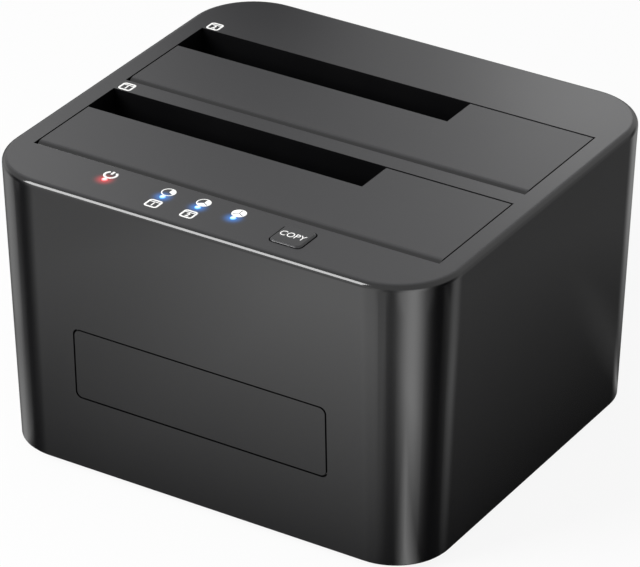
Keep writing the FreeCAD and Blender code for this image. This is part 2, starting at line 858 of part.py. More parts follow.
# ================================================================ ribbon cable
def ribbon_socket(z0, z1, entry_z):
    """Socket with a slot that the ribbon's end pushes into, towards entry_z."""
    y = button_centre_y
    body = box(ribbon_x - socket_width / 2, ribbon_x + socket_width / 2,
               y - socket_depth / 2, y + socket_depth / 2, z0, z1)
    slot_z = (z1 - socket_entry, z1 + 1) if entry_z == z1 else (z0 - 1, z0 + socket_entry)
    half_x = ribbon_width / 2 + 0.1
    half_y = ribbon_thickness / 2 + 0.05
    return one(body.cut(box(ribbon_x - half_x, ribbon_x + half_x, y - half_y, y + half_y, *slot_z)))


def ribbon_cable():
    """Flat ribbon from the main board up to the indicator board, with a slack bow."""
    y = button_centre_y
    z0 = board_top + socket_height - socket_entry + 0.1
    z1 = strip_bottom - socket_height + socket_entry - 0.1
    span = (z1 - z0) / 5
    points = [V(0, y, z0), V(0, y, z0 + span), V(0, y - ribbon_bow, z0 + 2 * span),
              V(0, y - ribbon_bow, z1 - 2 * span), V(0, y, z1 - span), V(0, y, z1)]
    edges = []
    here = points[0]
    for before, corner, after in zip(points, points[1:], points[2:]):
        inward = (before - corner).normalize()
        outward = (after - corner).normalize()
        turn = math.pi - inward.getAngle(outward)
        back = ribbon_bend * math.tan(turn / 2)
        start = corner + inward * back
        end = corner + outward * back
        bisector = (inward + outward).normalize()
        middle = corner + bisector * (ribbon_bend / math.cos(turn / 2) - ribbon_bend)
        edges.append(Part.LineSegment(here, start).toShape())
        edges.append(Part.Arc(start, middle, end).toShape())
        here = end
    edges.append(Part.LineSegment(here, points[-1]).toShape())
    half_x = ribbon_width / 2
    half_y = ribbon_thickness / 2
    profile = []
    for sx, sy in ((-1, -1), (1, -1), (1, 1), (-1, 1), (-1, -1)):
        profile.append(V(sx * half_x, y + sy * half_y, z0))
    ribbon = Part.Wire(edges).makePipeShell([Part.makePolygon(profile)], True, False)
    ribbon.translate(V(ribbon_x, 0, 0))
    return ribbon


# ================================================================ main board
def main_board():
    front = -half_depth(board_bottom, wall + board_wall_gap)
    rear = half_depth(board_bottom, wall + board_wall_gap)
    side = half_width(board_bottom, board_side)
    board = box(-side, side, front, rear, board_bottom, board_top)
    cuts = []
    notch = post_radius + board_corner_gap
    for x, y in post_spots:
        cut_x = abs(x) - notch
        cut_y = abs(y) - notch
        x0, x1 = (cut_x, side + 1) if x > 0 else (-side - 1, -cut_x)
        y0, y1 = (cut_y, rear + 1) if y > 0 else (front - 1, -cut_y)
        cuts.append(box(x0, x1, y0, y1, board_bottom - 1, board_top + 1))
    hole = board_screw["shank_radius"] + screw_hole_clearance
    for x, y in board_screw_spots:
        cuts.append(column(hole, x, y, board_bottom - 1, board_top + 1))
    return one(board.cut(cuts))


def board_screws():
    return group([upward_screw(board_screw, x, y, board_bottom) for x, y in board_screw_spots])


def chip(x, y, width, depth, height):
    body = box(x - width / 2, x + width / 2, y - depth / 2, y + depth / 2, board_top, board_top + height)
    return body.makeChamfer(chip_bevel, edges_at(body, board_top + height))


def power_inductors():
    """Square shielded coils with cut corners."""
    coils = []
    y = half_depth(board_bottom, wall + board_wall_gap) - inductor_from_rear
    for x in inductor_xs:
        coil = post(inductor_side, x, y, board_top, board_top + inductor_height)
        uprights = [edge for edge in coil.Edges if edge.BoundBox.ZLength > inductor_height / 2]
        coils.append(coil.makeChamfer(inductor_corner, uprights))
    return group(coils)


def filter_capacitors():
    """Upright aluminium cans on square bases, in the strip behind the rear bay."""
    cans = []
    y = half_depth(board_bottom, wall + board_wall_gap) - capacitor_from_rear
    base_z = board_top + capacitor_base_height
    for x in capacitor_xs:
        base = post(capacitor_base_side, x, y, board_top, base_z)
        cans.append(one(base.fuse(column(capacitor_radius, x, y, base_z, board_top + capacitor_height))))
    return group(cans)


# ================================================================ SATA connectors
def sata_slots():
    """Left and right ends of the power slot and of the signal slot."""
    total = sata_power_length + sata_slot_wall + sata_signal_length
    left = sata_x - total / 2
    power = (left, left + sata_power_length)
    signal = (power[1] + sata_slot_wall, power[1] + sata_slot_wall + sata_signal_length)
    return power, signal


def sata_connector(y):
    """Upright 22-way receptacle with its two L-shaped slots and the end guides."""
    base = box(sata_x - sata_base_width / 2, sata_x + sata_base_width / 2,
               y - sata_base_depth / 2, y + sata_base_depth / 2, board_top, board_top + sata_base_height)
    body = box(sata_x - sata_width / 2, sata_x + sata_width / 2,
               y - sata_depth / 2, y + sata_depth / 2, board_top + sata_base_height, sata_top)
    cuts = []
    floor = sata_top - sata_slot_depth
    half = sata_slot_width / 2
    for left, right in sata_slots():
        cuts.append(box(left, right, y - half, y + half, floor, sata_top + 1))
        cuts.append(box(left, left + sata_key_length, y - half, y - half + sata_key_width,
                        floor, sata_top + 1))
    for side in (-1, 1):
        outer = sata_x + side * sata_width / 2
        inner = outer - side * sata_guide_width
        cuts.append(box(min(outer, inner), max(outer, inner), y - sata_guide_depth / 2,
                        y + sata_guide_depth / 2, floor, sata_top + 1))
    return one(base.fuse(body).cut(cuts))


def sata_contacts(y):
    """Contact blades along the front wall of both slots."""
    blades = []
    floor = sata_top - sata_slot_depth
    face = y - sata_slot_width / 2
    for (left, right), count in zip(sata_slots(), (15, 7)):
        middle = (left + right) / 2
        for index in range(count):
            x = middle + (index - (count - 1) / 2) * contact_pitch
            blades.append(box(x - contact_width / 2, x + contact_width / 2, face, face + contact_thickness,
                              floor, floor + contact_length))
    return group(blades)


# ================================================================ ports at the back
def usb_shell():
    """Stepped sheet-metal shell of an upright USB 3 type B port."""
    start = usb_mouth - usb_length
    outer = prism(usb_outline(0.0, start), V(0, usb_length, 0))
    inner = prism(usb_outline(usb_sheet, start + usb_sheet), V(0, usb_length, 0))
    return one(outer.cut(inner))


def usb_insert():
    """Moulded insert: a block at the back of the port and its two contact tongues."""
    start = usb_mouth - usb_length + usb_sheet
    block_end = usb_mouth - usb_tongue_length
    block = prism(usb_outline(usb_sheet, start), V(0, block_end - start, 0))
    end = usb_mouth - usb_tongue_set_back
    lower_z = board_top + usb_lower_height / 2
    lower = box(usb_x - usb_tongue_width / 2, usb_x + usb_tongue_width / 2, block_end, end,
                lower_z - usb_tongue_height / 2, lower_z + usb_tongue_height / 2)
    upper_z = board_top + usb_lower_height + usb_upper_height / 2 - usb_sheet
    upper = box(usb_x - usb_upper_tongue_width / 2, usb_x + usb_upper_tongue_width / 2, block_end, end,
                upper_z - usb_upper_tongue_height / 2, upper_z + usb_upper_tongue_height / 2)
    return one(block.fuse([lower, upper]))


def usb_contacts():
    """Four contacts around the lower tongue and five under the upper one."""
    y0 = usb_mouth - usb_tongue_length
    y1 = usb_mouth - usb_contact_set_back
    thick = usb_contact_thickness
    lower_z = board_top + usb_lower_height / 2
    upper_z = board_top + usb_lower_height + usb_upper_height / 2 - usb_sheet
    half = usb_lower_contact_width / 2
    strips = []
    for x in (usb_x - usb_lower_contact_x, usb_x + usb_lower_contact_x):
        for z in (lower_z - usb_tongue_height / 2 - thick, lower_z + usb_tongue_height / 2):
            strips.append(box(x - half, x + half, y0, y1, z, z + thick))
    half = usb_upper_contact_width / 2
    z = upper_z - usb_upper_tongue_height / 2 - thick
    for index in range(usb_upper_contact_count):
        x = usb_x + (index - (usb_upper_contact_count - 1) / 2) * usb_upper_contact_pitch
        strips.append(box(x - half, x + half, y0, y1, z, z + thick))
    return group(strips)


def jack_mouth():
    return half_depth(jack_z, port_recess)


def dc_jack_body():
    half = jack_width / 2
    body = box(jack_x - half, jack_x + half, port_face - jack_length, port_face,
               board_top, board_top + jack_height)
    collar = rod_y(jack_collar_radius, port_face - 1, jack_mouth(), jack_x, jack_z)
    bore = rod_y(jack_bore_radius, jack_mouth() - jack_bore_length, jack_mouth() + 1, jack_x, jack_z)
    seat = rod_y(jack_pin_root_radius + running_clearance, jack_mouth() - jack_bore_length - jack_pin_root,
                 jack_mouth(), jack_x, jack_z)
    return one(body.fuse(collar).cut([bore, seat]))


def dc_jack_pin():
    """Centre pin, with a thicker root that is held in the jack's body."""
    start = jack_mouth() - jack_bore_length
    pin = rod_y(jack_pin_radius, start, start + jack_pin_length, jack_x, jack_z)
    root = rod_y(jack_pin_root_radius, start - jack_pin_root, start, jack_x, jack_z)
    return one(pin.fuse(root))


def rocker_case():
    """Right-angle switch case on the board, open towards the rear wall's cut-out."""
    half_x = rocker_width / 2 + rocker_room
    half_z = rocker_height / 2 + rocker_side_gap
    outer = box(rocker_x - half_x - rocker_case_wall, rocker_x + half_x + rocker_case_wall,
                port_face - rocker_case_depth, port_face, board_top, board_top + rocker_case_height)
    room = box(rocker_x - half_x, rocker_x + half_x, port_face - rocker_case_depth + rocker_case_wall,
               port_face + 1, rocker_z - half_z, rocker_z + half_z)
    reach = half_z + trunnion_length
    bearing = column(trunnion_radius + running_clearance, rocker_x, rocker_pivot_y,
                     rocker_z - reach, rocker_z + reach)
    return one(outer.cut([room, bearing]))


def rocker():
    """Paddle on two trunnions, at rest tipped to its off side."""
    half_x = rocker_width / 2
    half_z = rocker_height / 2
    drop = math.tan(math.radians(rocker_paddle_slope)) * half_x
    crest = rocker_rise + drop
    right = [(half_x - rocker_edge_cut, crest), (half_x, crest - rocker_edge_cut),
             (half_x, rocker_skirt_cut_y - rocker_skirt), (half_x - rocker_skirt_cut_x, -rocker_skirt)]
    outline = [(0.0, rocker_rise)] + right + [(-x, y) for x, y in reversed(right)]
    points = [(x, y, -half_z) for x, y in outline]
    paddle = prism(points, V(0, 0, rocker_height))
    reach = half_z + rocker_side_gap + trunnion_length - trunnion_end_gap
    pivot = Part.makeCylinder(trunnion_radius, 2 * reach, V(0, 0, -reach), Z_AXIS)
    paddle = paddle.fuse(pivot)
    paddle.rotate(V(0, 0, 0), Z_AXIS, -rocker_swing / 2)
    paddle.translate(V(rocker_x, rocker_pivot_y, rocker_z))
    return one(paddle)


def rocker_terminals():
    """Two blades out of the case's back, down to the board."""
    blades = []
    back = port_face - rocker_case_depth
    for side in (-1, 1):
        x = rocker_x + side * rocker_width / 4
        blades.append(box(x - terminal_width / 2, x + terminal_width / 2, back - terminal_thickness, back,
                          board_top, board_top + terminal_length))
    return group(blades)


# ================================================================ export
def build():
    parts = {
        "housing_shell": housing_shell(),
        "badge_plate": badge_plate(),
        "base_cover": base_cover(),
        "base_screws": base_screws(),
        "rubber_feet": rubber_feet(),
        "bay_frame": bay_frame(),
        "copy_button": copy_button(),
        "power_light_pipe": power_light_pipe(),
        "progress_light_pipes": progress_light_pipes(),
        "power_led": led(power_light_x),
        "progress_leds": group([led(x) for x in light_xs]),
        "indicator_board": indicator_board(),
        "tact_switch": tact_switch(),
        "tact_plunger": tact_plunger(),
        "ribbon_cable": ribbon_cable(),
        "ribbon_socket_upper": ribbon_socket(strip_bottom - socket_height, strip_bottom,
                                             strip_bottom - socket_height),
        "ribbon_socket_lower": ribbon_socket(board_top, board_top + socket_height, board_top + socket_height),
        "main_board": main_board(),
        "main_board_screws": board_screws(),
        "bridge_chip": chip(bay_width / 2 - bridge_chip_inset, chip_row_y, **bridge_chip),
        "memory_chip": chip(bay_width / 2 - memory_chip_inset, chip_row_y, **memory_chip),
        "clock_crystal": chip(bay_width / 2 - bridge_chip_inset, crystal_y, **crystal),
        "regulator_chips": group([chip(x, regulator_y, **regulator) for x in (-regulator_x, regulator_x)]),
        "power_inductors": power_inductors(),
        "filter_capacitors": filter_capacitors(),
        "usb_port_shell": usb_shell(),
        "usb_port_insert": usb_insert(),
        "usb_port_contacts": usb_contacts(),
        "dc_jack_body": dc_jack_body(),
        "dc_jack_pin": dc_jack_pin(),
        "power_switch_case": rocker_case(),
        "power_rocker": rocker(),
        "power_switch_terminals": rocker_terminals(),
    }
    for bay, bay_front in bay_fronts.items():
        parts[bay + "_flap"] = flap(bay_front)
        parts[bay + "_flap_pin"] = flap_pin(bay_front)
        parts[bay + "_flap_spring"] = flap_spring(bay_front)
        parts[bay + "_bay_connector"] = sata_connector(sata_ys[bay])
        parts[bay + "_bay_contacts"] = sata_contacts(sata_ys[bay])
    return parts


os.makedirs("parts", exist_ok=True)
for name, shape in build().items():
    shape.exportStep("parts/" + name + ".step")
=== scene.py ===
import contextlib
import json
import math

import bmesh
import bpy
from mathutils import Matrix, Vector, geometry
from mathutils.bvhtree import BVHTree


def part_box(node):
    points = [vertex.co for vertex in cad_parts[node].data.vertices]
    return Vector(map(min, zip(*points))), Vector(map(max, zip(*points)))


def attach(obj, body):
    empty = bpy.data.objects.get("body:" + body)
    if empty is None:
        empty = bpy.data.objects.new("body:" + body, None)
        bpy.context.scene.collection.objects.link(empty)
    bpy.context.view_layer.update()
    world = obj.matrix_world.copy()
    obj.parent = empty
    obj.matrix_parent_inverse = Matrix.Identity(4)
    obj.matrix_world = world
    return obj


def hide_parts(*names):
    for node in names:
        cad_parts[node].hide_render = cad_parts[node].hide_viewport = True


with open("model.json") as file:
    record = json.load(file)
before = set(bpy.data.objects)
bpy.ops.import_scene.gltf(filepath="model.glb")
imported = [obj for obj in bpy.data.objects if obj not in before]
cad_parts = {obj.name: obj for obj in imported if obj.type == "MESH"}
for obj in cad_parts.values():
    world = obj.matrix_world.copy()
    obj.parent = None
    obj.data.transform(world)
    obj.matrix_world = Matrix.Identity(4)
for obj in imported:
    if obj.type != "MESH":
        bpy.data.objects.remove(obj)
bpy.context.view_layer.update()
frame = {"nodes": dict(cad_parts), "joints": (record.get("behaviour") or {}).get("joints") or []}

bl_info = {
    "name": "Drive Duplicator",
    "version": (1, 0, 0),
    "blender": (4, 5, 0),
    "location": "View3D > Sidebar > Duplicator",
    "description": "Dresses the two-bay drive duplicator and sets up its studio",
    "category": "Object",
}

MM = 0.001
HOUSING = "housing"
BAYS = ("front", "rear")
INK = "Screen print"
# Near-black finish that paints shade: the bay walls, the plate's groove and the bay frame get it where they
# lie in shade.
BLACK_AND_SHADE = "ABS black and painted shade"

SHARP = math.radians(30)    # edges that turn more than this are softened
FLAT = math.radians(0.6)    # faces that turn less than this are one
SPECK = 0.002 * MM          # points closer than this are one
NEAR = 1 * MM               # what is this close to a piece's box belongs round it
DECK = 2.5 * MM             # edges this close under the top are the deck's own
DECK_INSET = 4 * MM         # edges this far inside the housing's outline belong to its openings
BAY_RIM = 3 * MM            # the housing's own bay walls end this far down
GROOVE_LIP = 0.1 * MM       # faces this close to the front plate's back are the floor of its groove
BUTTON_EDGE = 0.35 * MM     # radius round the button's cap
FLAP_PLAY = 0.35 * MM       # gap at each end of a flap
FLAP_SKIN = 2.0 * MM        # thickness of a flap
FLAP_BARREL = 2.5 * MM      # edges this close to a flap's hinge lie on its rolled front
STOP_LIP = 0.9 * MM         # how far a flap's stop lip reaches under the deck behind its bay
LENS = 0.7 * MM             # radius of the lights' lenses
PAINTED_GLOW = 4.5 * MM             # how far the painted glow of a lit lens reaches on the deck
COIL_PITCH = 0.6 * MM       # of the flap springs
COIL_STEPS = 24             # points in one turn
COIL_START = math.radians(300)    # the wall leg then clears the pocket's edge when the flap is open
COIL_END = math.radians(320)      # beyond whole turns, where the flap's leg leaves
SCREW_HEAD, SCREW_RISE, SCREW_SHANK = 2.6 * MM, 1.6 * MM, 1.5 * MM
RECESS_WIDTH = 1.1          # of the head's radius
RECESS_BAR = 0.28           # a bar's thickness, of the recess's width
FOOT = 5.5 * MM             # radius of a foot
SIGN, SIGN_LINE, SIGN_ASIDE = 1.1 * MM, 0.4 * MM, 3.2 * MM    # on the rocker: radius, line, from its middle

# Soft boxes round the product: azimuth (degrees, 0 in front, + to the right), half width, level.
SOFT_BOXES = [(-33, 9.5, 1.45), (-8, 14.5, 1.65), (46, 11.5, 2.4), (62, 11, 2.3), (133, 9.5, 0.72),
              (172, 8, 0.38), (-173, 20, 0.36), (-88, 9, 0.75), (-105, 14, 1.0)]
BETWEEN_BOXES = 0.02
CEILING = 0.95
CEILING_TURN = (-0.05, 0.35)    # heights of view where the boxes turn into the ceiling
FILL = 0.45                     # level that matt surfaces see all round

# Lamps: name, azimuth, elevation, distance, width, height, power in watts.
LAMPS = [("key lamp", -36, 32, 1.0, 0.5, 0.5, 10.1)]
LAMP_AIM = Vector((0, 0, 0.04))

# Light card over the deck: azimuth, elevation, distance; its outline and its level;
# soft spots on it (side, up, radius in mm, level).
CARD_WAY = (-146, 29, 0.22)
CARD_OUTLINE = [(-0.13, -0.085), (0.13, -0.085), (0.13, 0.1), (-0.13, 0.1)]
CARD_LEVEL = 0.76
CARD_SPOTS = [(85, -15, 60, 1.7), (-8, -48, 45, -0.95), (-85, 8, 60, 0.7)]

# The floor, and where gloss sees the studio through it.
FLOOR_HALF = 6.0
FLOOR_WHITE = 0.9                 # share of plain white that the camera sees
STRETCH = 1.68                    # distances along X count this much more
OPEN_AWAY = (-0.017, 0.085)       # distance from the housing over which it opens
OPEN_CORNER = 0.016               # the corners' wedges start this far in
OPEN_SLANT = (0.3, 1.2)           # slope of a wedge over which it opens
DIMMER_LEFT = (-0.09, -0.03, 0.6)    # the two places along X, and the level beyond the first


def linear(hex_colour):
    """sRGB hex such as "#1c1c1e" as linear red, green, blue."""
    channels = []
    for start in (1, 3, 5):
        value = int(hex_colour[start:start + 2], 16) / 255
        channels.append(value / 12.92 if value <= 0.04045 else ((value + 0.055) / 1.055) ** 2.4)
    return tuple(channels)


def centre(node):
    low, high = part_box(node)
    return (low + high) / 2


def way(around, up):
    """The direction of an azimuth (0 in front, + to the right) and an elevation."""
    return Vector((math.sin(around) * math.cos(up), -math.cos(around) * math.cos(up), math.sin(up)))


def light_places():
    """Where the power light and the progress lights meet the top of the deck."""
    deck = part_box("housing_shell")[1].z
    power = centre("power_light_pipe")
    low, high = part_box("progress_light_pipes")
    stem = (high.y - low.y) / 2
    row = [low.x + stem, (low.x + high.x) / 2, high.x - stem]
    return [Vector((power.x, power.y, deck))], [Vector((x, power.y, deck)) for x in row]


# ---------------------------------------------------------------- settings
def length(name, description, millimetres, least=0.0):
    return bpy.props.FloatProperty(name=name, description=description, default=millimetres * MM,
                                   min=least, precision=5, unit="LENGTH", subtype="DISTANCE")


def angle(name, description, degrees):
    return bpy.props.FloatProperty(name=name, description=description, default=math.radians(degrees),
                                   subtype="ANGLE", unit="ROTATION")


def colour(name, description, hex_colour):
    return bpy.props.FloatVectorProperty(name=name, description=description, size=3, min=0.0, max=1.0,
                                         default=linear(hex_colour), subtype="COLOR")


class DuplicatorSizes(bpy.types.PropertyGroup):
    edge: length("Edge softness", "Radius on the edges of the large mouldings", 0.15)
    fine_edge: length("Fine edge softness", "Radius on the edges of small parts", 0.08)
    print_height: length("Print thickness", "How far printed ink stands above its surface", 0.015)
    icon: length("Icon size", "Diameter of the icons printed on the deck", 3.4)
    icon_line: length("Icon line", "Stroke width of the printed icons", 0.36)
    icon_behind: length("Icon behind light", "From a light to the icon behind it", 2.45)
    icon_before: length("Icon before light", "From a light to the bay number in front of it", 3.55)
    bay_mark_side: length("Bay mark inset", "From a bay's left end to its printed number", 2.25)
    bay_mark_behind: length("Bay mark gap", "From a bay's rear edge to its printed number", 2.1)
    label: length("Button label", "Width of the word on the button", 6.2)
    lens: length("Lens height", "How far a light's lens stands above the deck", 0.2)
    foot_edge: length("Foot edge", "Radius round the rubber feet", 0.3)
    spring_wire: length("Spring wire", "Diameter of the flap springs' wire", 0.42)
    spring_radius: length("Spring radius", "Middle radius of the flap springs' coil", 1.175)


class DuplicatorColours(bpy.types.PropertyGroup):
    # The deck and flap tops are lighter than the satin sides: partly the etch's greyer look, partly painted
    # light falling on the tops.
    deck: colour("Deck", "Etched top of the housing", "#2b2b2d")
    side: colour("Sides", "Satin sides of the housing", "#101011")
    flap: colour("Flaps", "Bay flaps", "#2d2d2f")
    plate: colour("Front plate", "Inset plate on the front", "#101011")
    button: colour("Button", "Copy button", "#29292b")
    # The bays' near black is painted shade in the wells.
    bay: colour("Bays", "Drive wells", "#070708")
    ink: colour("Print", "Printed icons", "#f2f2f0")
    red: colour("Power light", "Lit power light", "#ff3a40")
    blue: colour("Progress lights", "Lit progress lights", "#3095ff")
    floor: colour("Floor", "Studio floor and backdrop", "#f4f4f4")


class DuplicatorStudio(bpy.types.PropertyGroup):
    azimuth: angle("Azimuth", "Camera's turn to the right of the front", 31.81)
    elevation: angle("Elevation", "Camera's height angle", 29.238)
    roll: angle("Roll", "Camera's turn about its own axis", 0.114)
    distance: length("Distance", "Camera to the aim point", 1046)
    focal: bpy.props.FloatProperty(name="Focal length", description="Lens in millimetres, 36 mm sensor",
                                   default=261.2, min=10.0)
    aim_side: length("Aim aside", "Aim point to the right of the middle", -0.492, -1.0)
    aim_up: length("Aim up", "Aim point above the middle, in the view", -2.019, -1.0)
    lamp_level: bpy.props.FloatProperty(name="Lamp level", description="Factor on all studio lamps",
                                        default=1.0, min=0.0)


# ---------------------------------------------------------------- nodes
def plug(tree, node, inputs):
    """Sets a node's inputs; a value is a number, a colour or another node's output socket."""
    for name, value in inputs.items():
        socket = node.inputs[name]
        if isinstance(value, bpy.types.NodeSocket):
            tree.links.new(value, socket)
        else:
            socket.default_value = value


def add_node(tree, kind, settings=None, inputs=None):
    """Adds a node, sets its properties and its inputs."""
    node = tree.nodes.new(kind)
    for name, value in (settings or {}).items():
        setattr(node, name, value)
    plug(tree, node, inputs or {})
    return node


def worked(tree, operation, *values):
    """The result of a Math node on numbers or sockets."""
    node = add_node(tree, "ShaderNodeMath", {"operation": operation}, dict(enumerate(values)))
    return node.outputs["Value"]


def vectors(tree, operation, *values):
    """The result of a Vector Math node: a number for distances, lengths and dot products."""
    node = add_node(tree, "ShaderNodeVectorMath", {"operation": operation}, dict(enumerate(values)))
    return node.outputs["Value" if operation in ("DISTANCE", "LENGTH", "DOT_PRODUCT") else "Vector"]


def combined(tree, **parts):
    """A vector from numbers or sockets named X, Y and Z."""
    return add_node(tree, "ShaderNodeCombineXYZ", inputs=parts).outputs["Vector"]


def parted(tree, vector):
    """A vector's X, Y and Z."""
    return add_node(tree, "ShaderNodeSeparateXYZ", inputs={"Vector": vector}).outputs


def ramp(tree, value, low, high, to_low=0.0, to_high=1.0, kind="LINEAR"):
    """A value between two limits, spread over another range and held within it."""
    node = add_node(tree, "ShaderNodeMapRange", {"interpolation_type": kind}, {
        "Value": value, "From Min": low, "From Max": high, "To Min": to_low, "To Max": to_high})
    return node.outputs["Result"]


def noise(tree, place, scale, detail=2.0):
    return add_node(tree, "ShaderNodeTexNoise", inputs={
        "Vector": place, "Scale": scale, "Detail": detail}).outputs["Fac"]


def between(tree, factor, first, second):
    """A number between two."""
    return add_node(tree, "ShaderNodeMix", {"data_type": "FLOAT"}, {
        "Factor": factor, "A": first, "B": second}).outputs["Result"]


def blend(tree, factor, first, second):
    """A colour between two."""
    mix = add_node(tree, "ShaderNodeMix", {"data_type": "RGBA"}, {"Factor": factor})
    mix.inputs[6].default_value = first
    mix.inputs[7].default_value = second
    return mix.outputs[2]


def bumps(tree, height, depth, strength):
    return add_node(tree, "ShaderNodeBump", inputs={
        "Height": height, "Distance": depth, "Strength": strength}).outputs["Normal"]


def either(tree, factor, first, second):
    """A shader between two."""
    return add_node(tree, "ShaderNodeMixShader", inputs={0: factor, 1: first, 2: second}).outputs["Shader"]


# ---------------------------------------------------------------- materials
MATERIALS = {}

# Moulded plastics and rubber: colour, roughness, width and depth of the grain in mm.
MOULDED = {
    "ABS polished black": ("#101011", 0.15, 1.0, 0.002),
    "ABS moulded base": ("#131314", 0.45, 0.5, 0.015),
    "PBT moulded": ("#141415", 0.4, 0.4, 0.01),
    "PBT blue": ("#1c4fa8", 0.35, 0.4, 0.008),
    "Nylon natural": ("#d9d2bf", 0.45, 0.5, 0.01),
    "Silicone rubber": ("#161616", 0.85, 0.6, 0.03),
    "Epoxy moulded": ("#1a1a1b", 0.55, 0.25, 0.012),
    "Ferrite": ("#3b3b3d", 0.7, 0.4, 0.03),
}

# Metals: colour, roughness, width and depth of the scratches in mm.
METALS = {
    "Zinc-plated steel": ("#b4b6b8", 0.34, 0.3, 0.004),
    "Nickel-plated steel": ("#c9c6bf", 0.24, 0.4, 0.003),
    "Spring steel": ("#9a9b9d", 0.3, 0.2, 0.003),
    "Gold plating": ("#e3b45a", 0.22, 0.2, 0.002),
    "Aluminium drawn": ("#d2d4d6", 0.3, 0.3, 0.004),
}

MOTTLE = 0.12                       # how much a moulding's colour wanders
GLOSS_SPREAD = 0.03                 # how much its roughness wanders
ETCH_TURN = (0.25 * MM, 0.03 * MM)  # depths under the top where satin turns into etched
SATIN_ROUGHNESS = 0.09
ETCH_GRAIN = 0.35 * MM
ETCH_DEPTH = 0.012 * MM
TRACK = 4.0 * MM                    # length of the copper tracks' lanes
CONDUCTOR = 1.0 * MM                # pitch of a ribbon cable's conductors
SCREEN = 0.12 * MM                  # mesh of the printing screen


def rgba(rgb, factor=1.0):
    return tuple(min(1.0, channel * factor) for channel in rgb) + (1.0,)


def paled(rgb, white):
    """A colour with a share of white."""
    return rgba([white + (1 - white) * channel for channel in rgb])


def surface(name):
    """Starts a material; gives its tree and the place on the object."""
    material = bpy.data.materials.new(name)
    material.use_nodes = True
    MATERIALS[name] = material
    tree = material.node_tree
    return tree, add_node(tree, "ShaderNodeTexCoord").outputs["Object"]


def shade(tree, inputs):
    """Sets the inputs of a material's shader."""
    plug(tree, tree.nodes["Principled BSDF"], inputs)


def moulded(name, rgb, roughness, grain, depth, specular=0.5):
    """Injection-moulded plastic. The mould's etched texture is a fine bump, grain wide and depth high.

    A slow mottle in colour and gloss is what handling and the melt's flow leave.
    """
    tree, place = surface(name)
    slow = noise(tree, place, 60.0, 3.0)
    shade(tree, {
        "Base Color": blend(tree, slow, rgba(rgb, 1 - MOTTLE), rgba(rgb, 1 + MOTTLE)),
        "Roughness": ramp(tree, slow, 0.3, 0.7, roughness - GLOSS_SPREAD, roughness + GLOSS_SPREAD),
        "Normal": bumps(tree, noise(tree, place, 1 / (grain * MM)), depth * MM, 0.6),
        "Specular IOR Level": specular})


def two_textures(name, etched_and_lit_rgb, satin_rgb, top, etched_roughness):
    """One moulding in two textures: its top is spark-etched and matt, its sides are almost polished.

    The etched top scatters light and looks greyer; its lighter base colour is partly that and partly painted
    light falling on the top. The sides keep soft, stretched reflections.
    """
    tree, place = surface(name)
    etched = ramp(tree, parted(tree, place)["Z"], top - ETCH_TURN[0], top - ETCH_TURN[1])
    gloss = between(tree, etched, SATIN_ROUGHNESS, etched_roughness)
    grain = noise(tree, place, 1 / ETCH_GRAIN)
    shade(tree, {
        # The lighter top colour is partly painted light from above.
        "Base Color": blend(tree, etched, rgba(satin_rgb), rgba(etched_and_lit_rgb)),
        "Roughness": worked(tree, "MULTIPLY_ADD", noise(tree, place, 40.0), 0.03, gloss),
        "Normal": bumps(tree, grain, ETCH_DEPTH, between(tree, etched, 0.03, 0.6))})


def metal(name, rgb, roughness, scratch, depth):
    """Plated or drawn metal: fine scratches along the part and a slightly uneven shine."""
    tree, place = surface(name)
    stretch = add_node(tree, "ShaderNodeMapping", inputs={"Vector": place, "Scale": (0.15, 1.0, 1.0)})
    lines = noise(tree, stretch.outputs["Vector"], 1 / (scratch * MM), 3.0)
    shade(tree, {
        "Base Color": rgba(rgb), "Metallic": 1.0,
        "Roughness": ramp(tree, lines, 0.0, 1.0, roughness - 0.08, roughness + 0.1),
        "Normal": bumps(tree, lines, depth * MM, 0.5)})


def lit_resin(name, rgb, spots):
    """Clear resin with a lit diode behind it: a pale hot middle that turns to the diode's colour."""
    tree, place = surface(name)
    nearest = 1.0
    for spot in spots:
        nearest = worked(tree, "MINIMUM", vectors(tree, "DISTANCE", place, spot), nearest)
    rim = ramp(tree, nearest, 0.5 * LENS, 1.1 * LENS, kind="SMOOTHSTEP")
    shade(tree, {
        "Base Color": rgba(rgb), "Emission Color": blend(tree, rim, paled(rgb, 0.7), paled(rgb, 0.05)),
        "Emission Strength": 1.3,
        "Roughness": ramp(tree, noise(tree, place, 1 / MM), 0.0, 1.0, 0.12, 0.22)})


def glow_round(name, spots):
    """Paints the glow that lit lenses throw on the surface round them into its emission, a painted pool of
    light; spots are (place, colour).
    """
    tree = MATERIALS[name].node_tree
    place = add_node(tree, "ShaderNodeTexCoord").outputs["Object"]
    total = (0.0, 0.0, 0.0)
    for spot, rgb in spots:
        away = vectors(tree, "DISTANCE", place, spot)
        near = ramp(tree, away, 0.0, PAINTED_GLOW, 1.0, 0.0, "SMOOTHERSTEP")
        light = add_node(tree, "ShaderNodeVectorMath", {"operation": "SCALE"}, {
            0: rgb, "Scale": worked(tree, "POWER", near, 3.0)})
        total = vectors(tree, "ADD", total, light.outputs["Vector"])
    shade(tree, {"Emission Color": total, "Emission Strength": 0.55})


def solder_mask(name):
    """Glass-fibre board under green solder mask: darker lanes where copper tracks run."""
    tree, place = surface(name)
    tracks = add_node(tree, "ShaderNodeTexBrick", {"offset": 0.37}, {
        "Vector": place, "Scale": 1 / TRACK, "Mortar Size": 0.05, "Brick Width": 0.9, "Row Height": 0.28,
        "Color1": rgba(linear("#0c4a26")), "Color2": rgba(linear("#0e5a2e")),
        "Mortar": rgba(linear("#17733f"))})
    shade(tree, {"Base Color": tracks.outputs["Color"], "Roughness": 0.32})


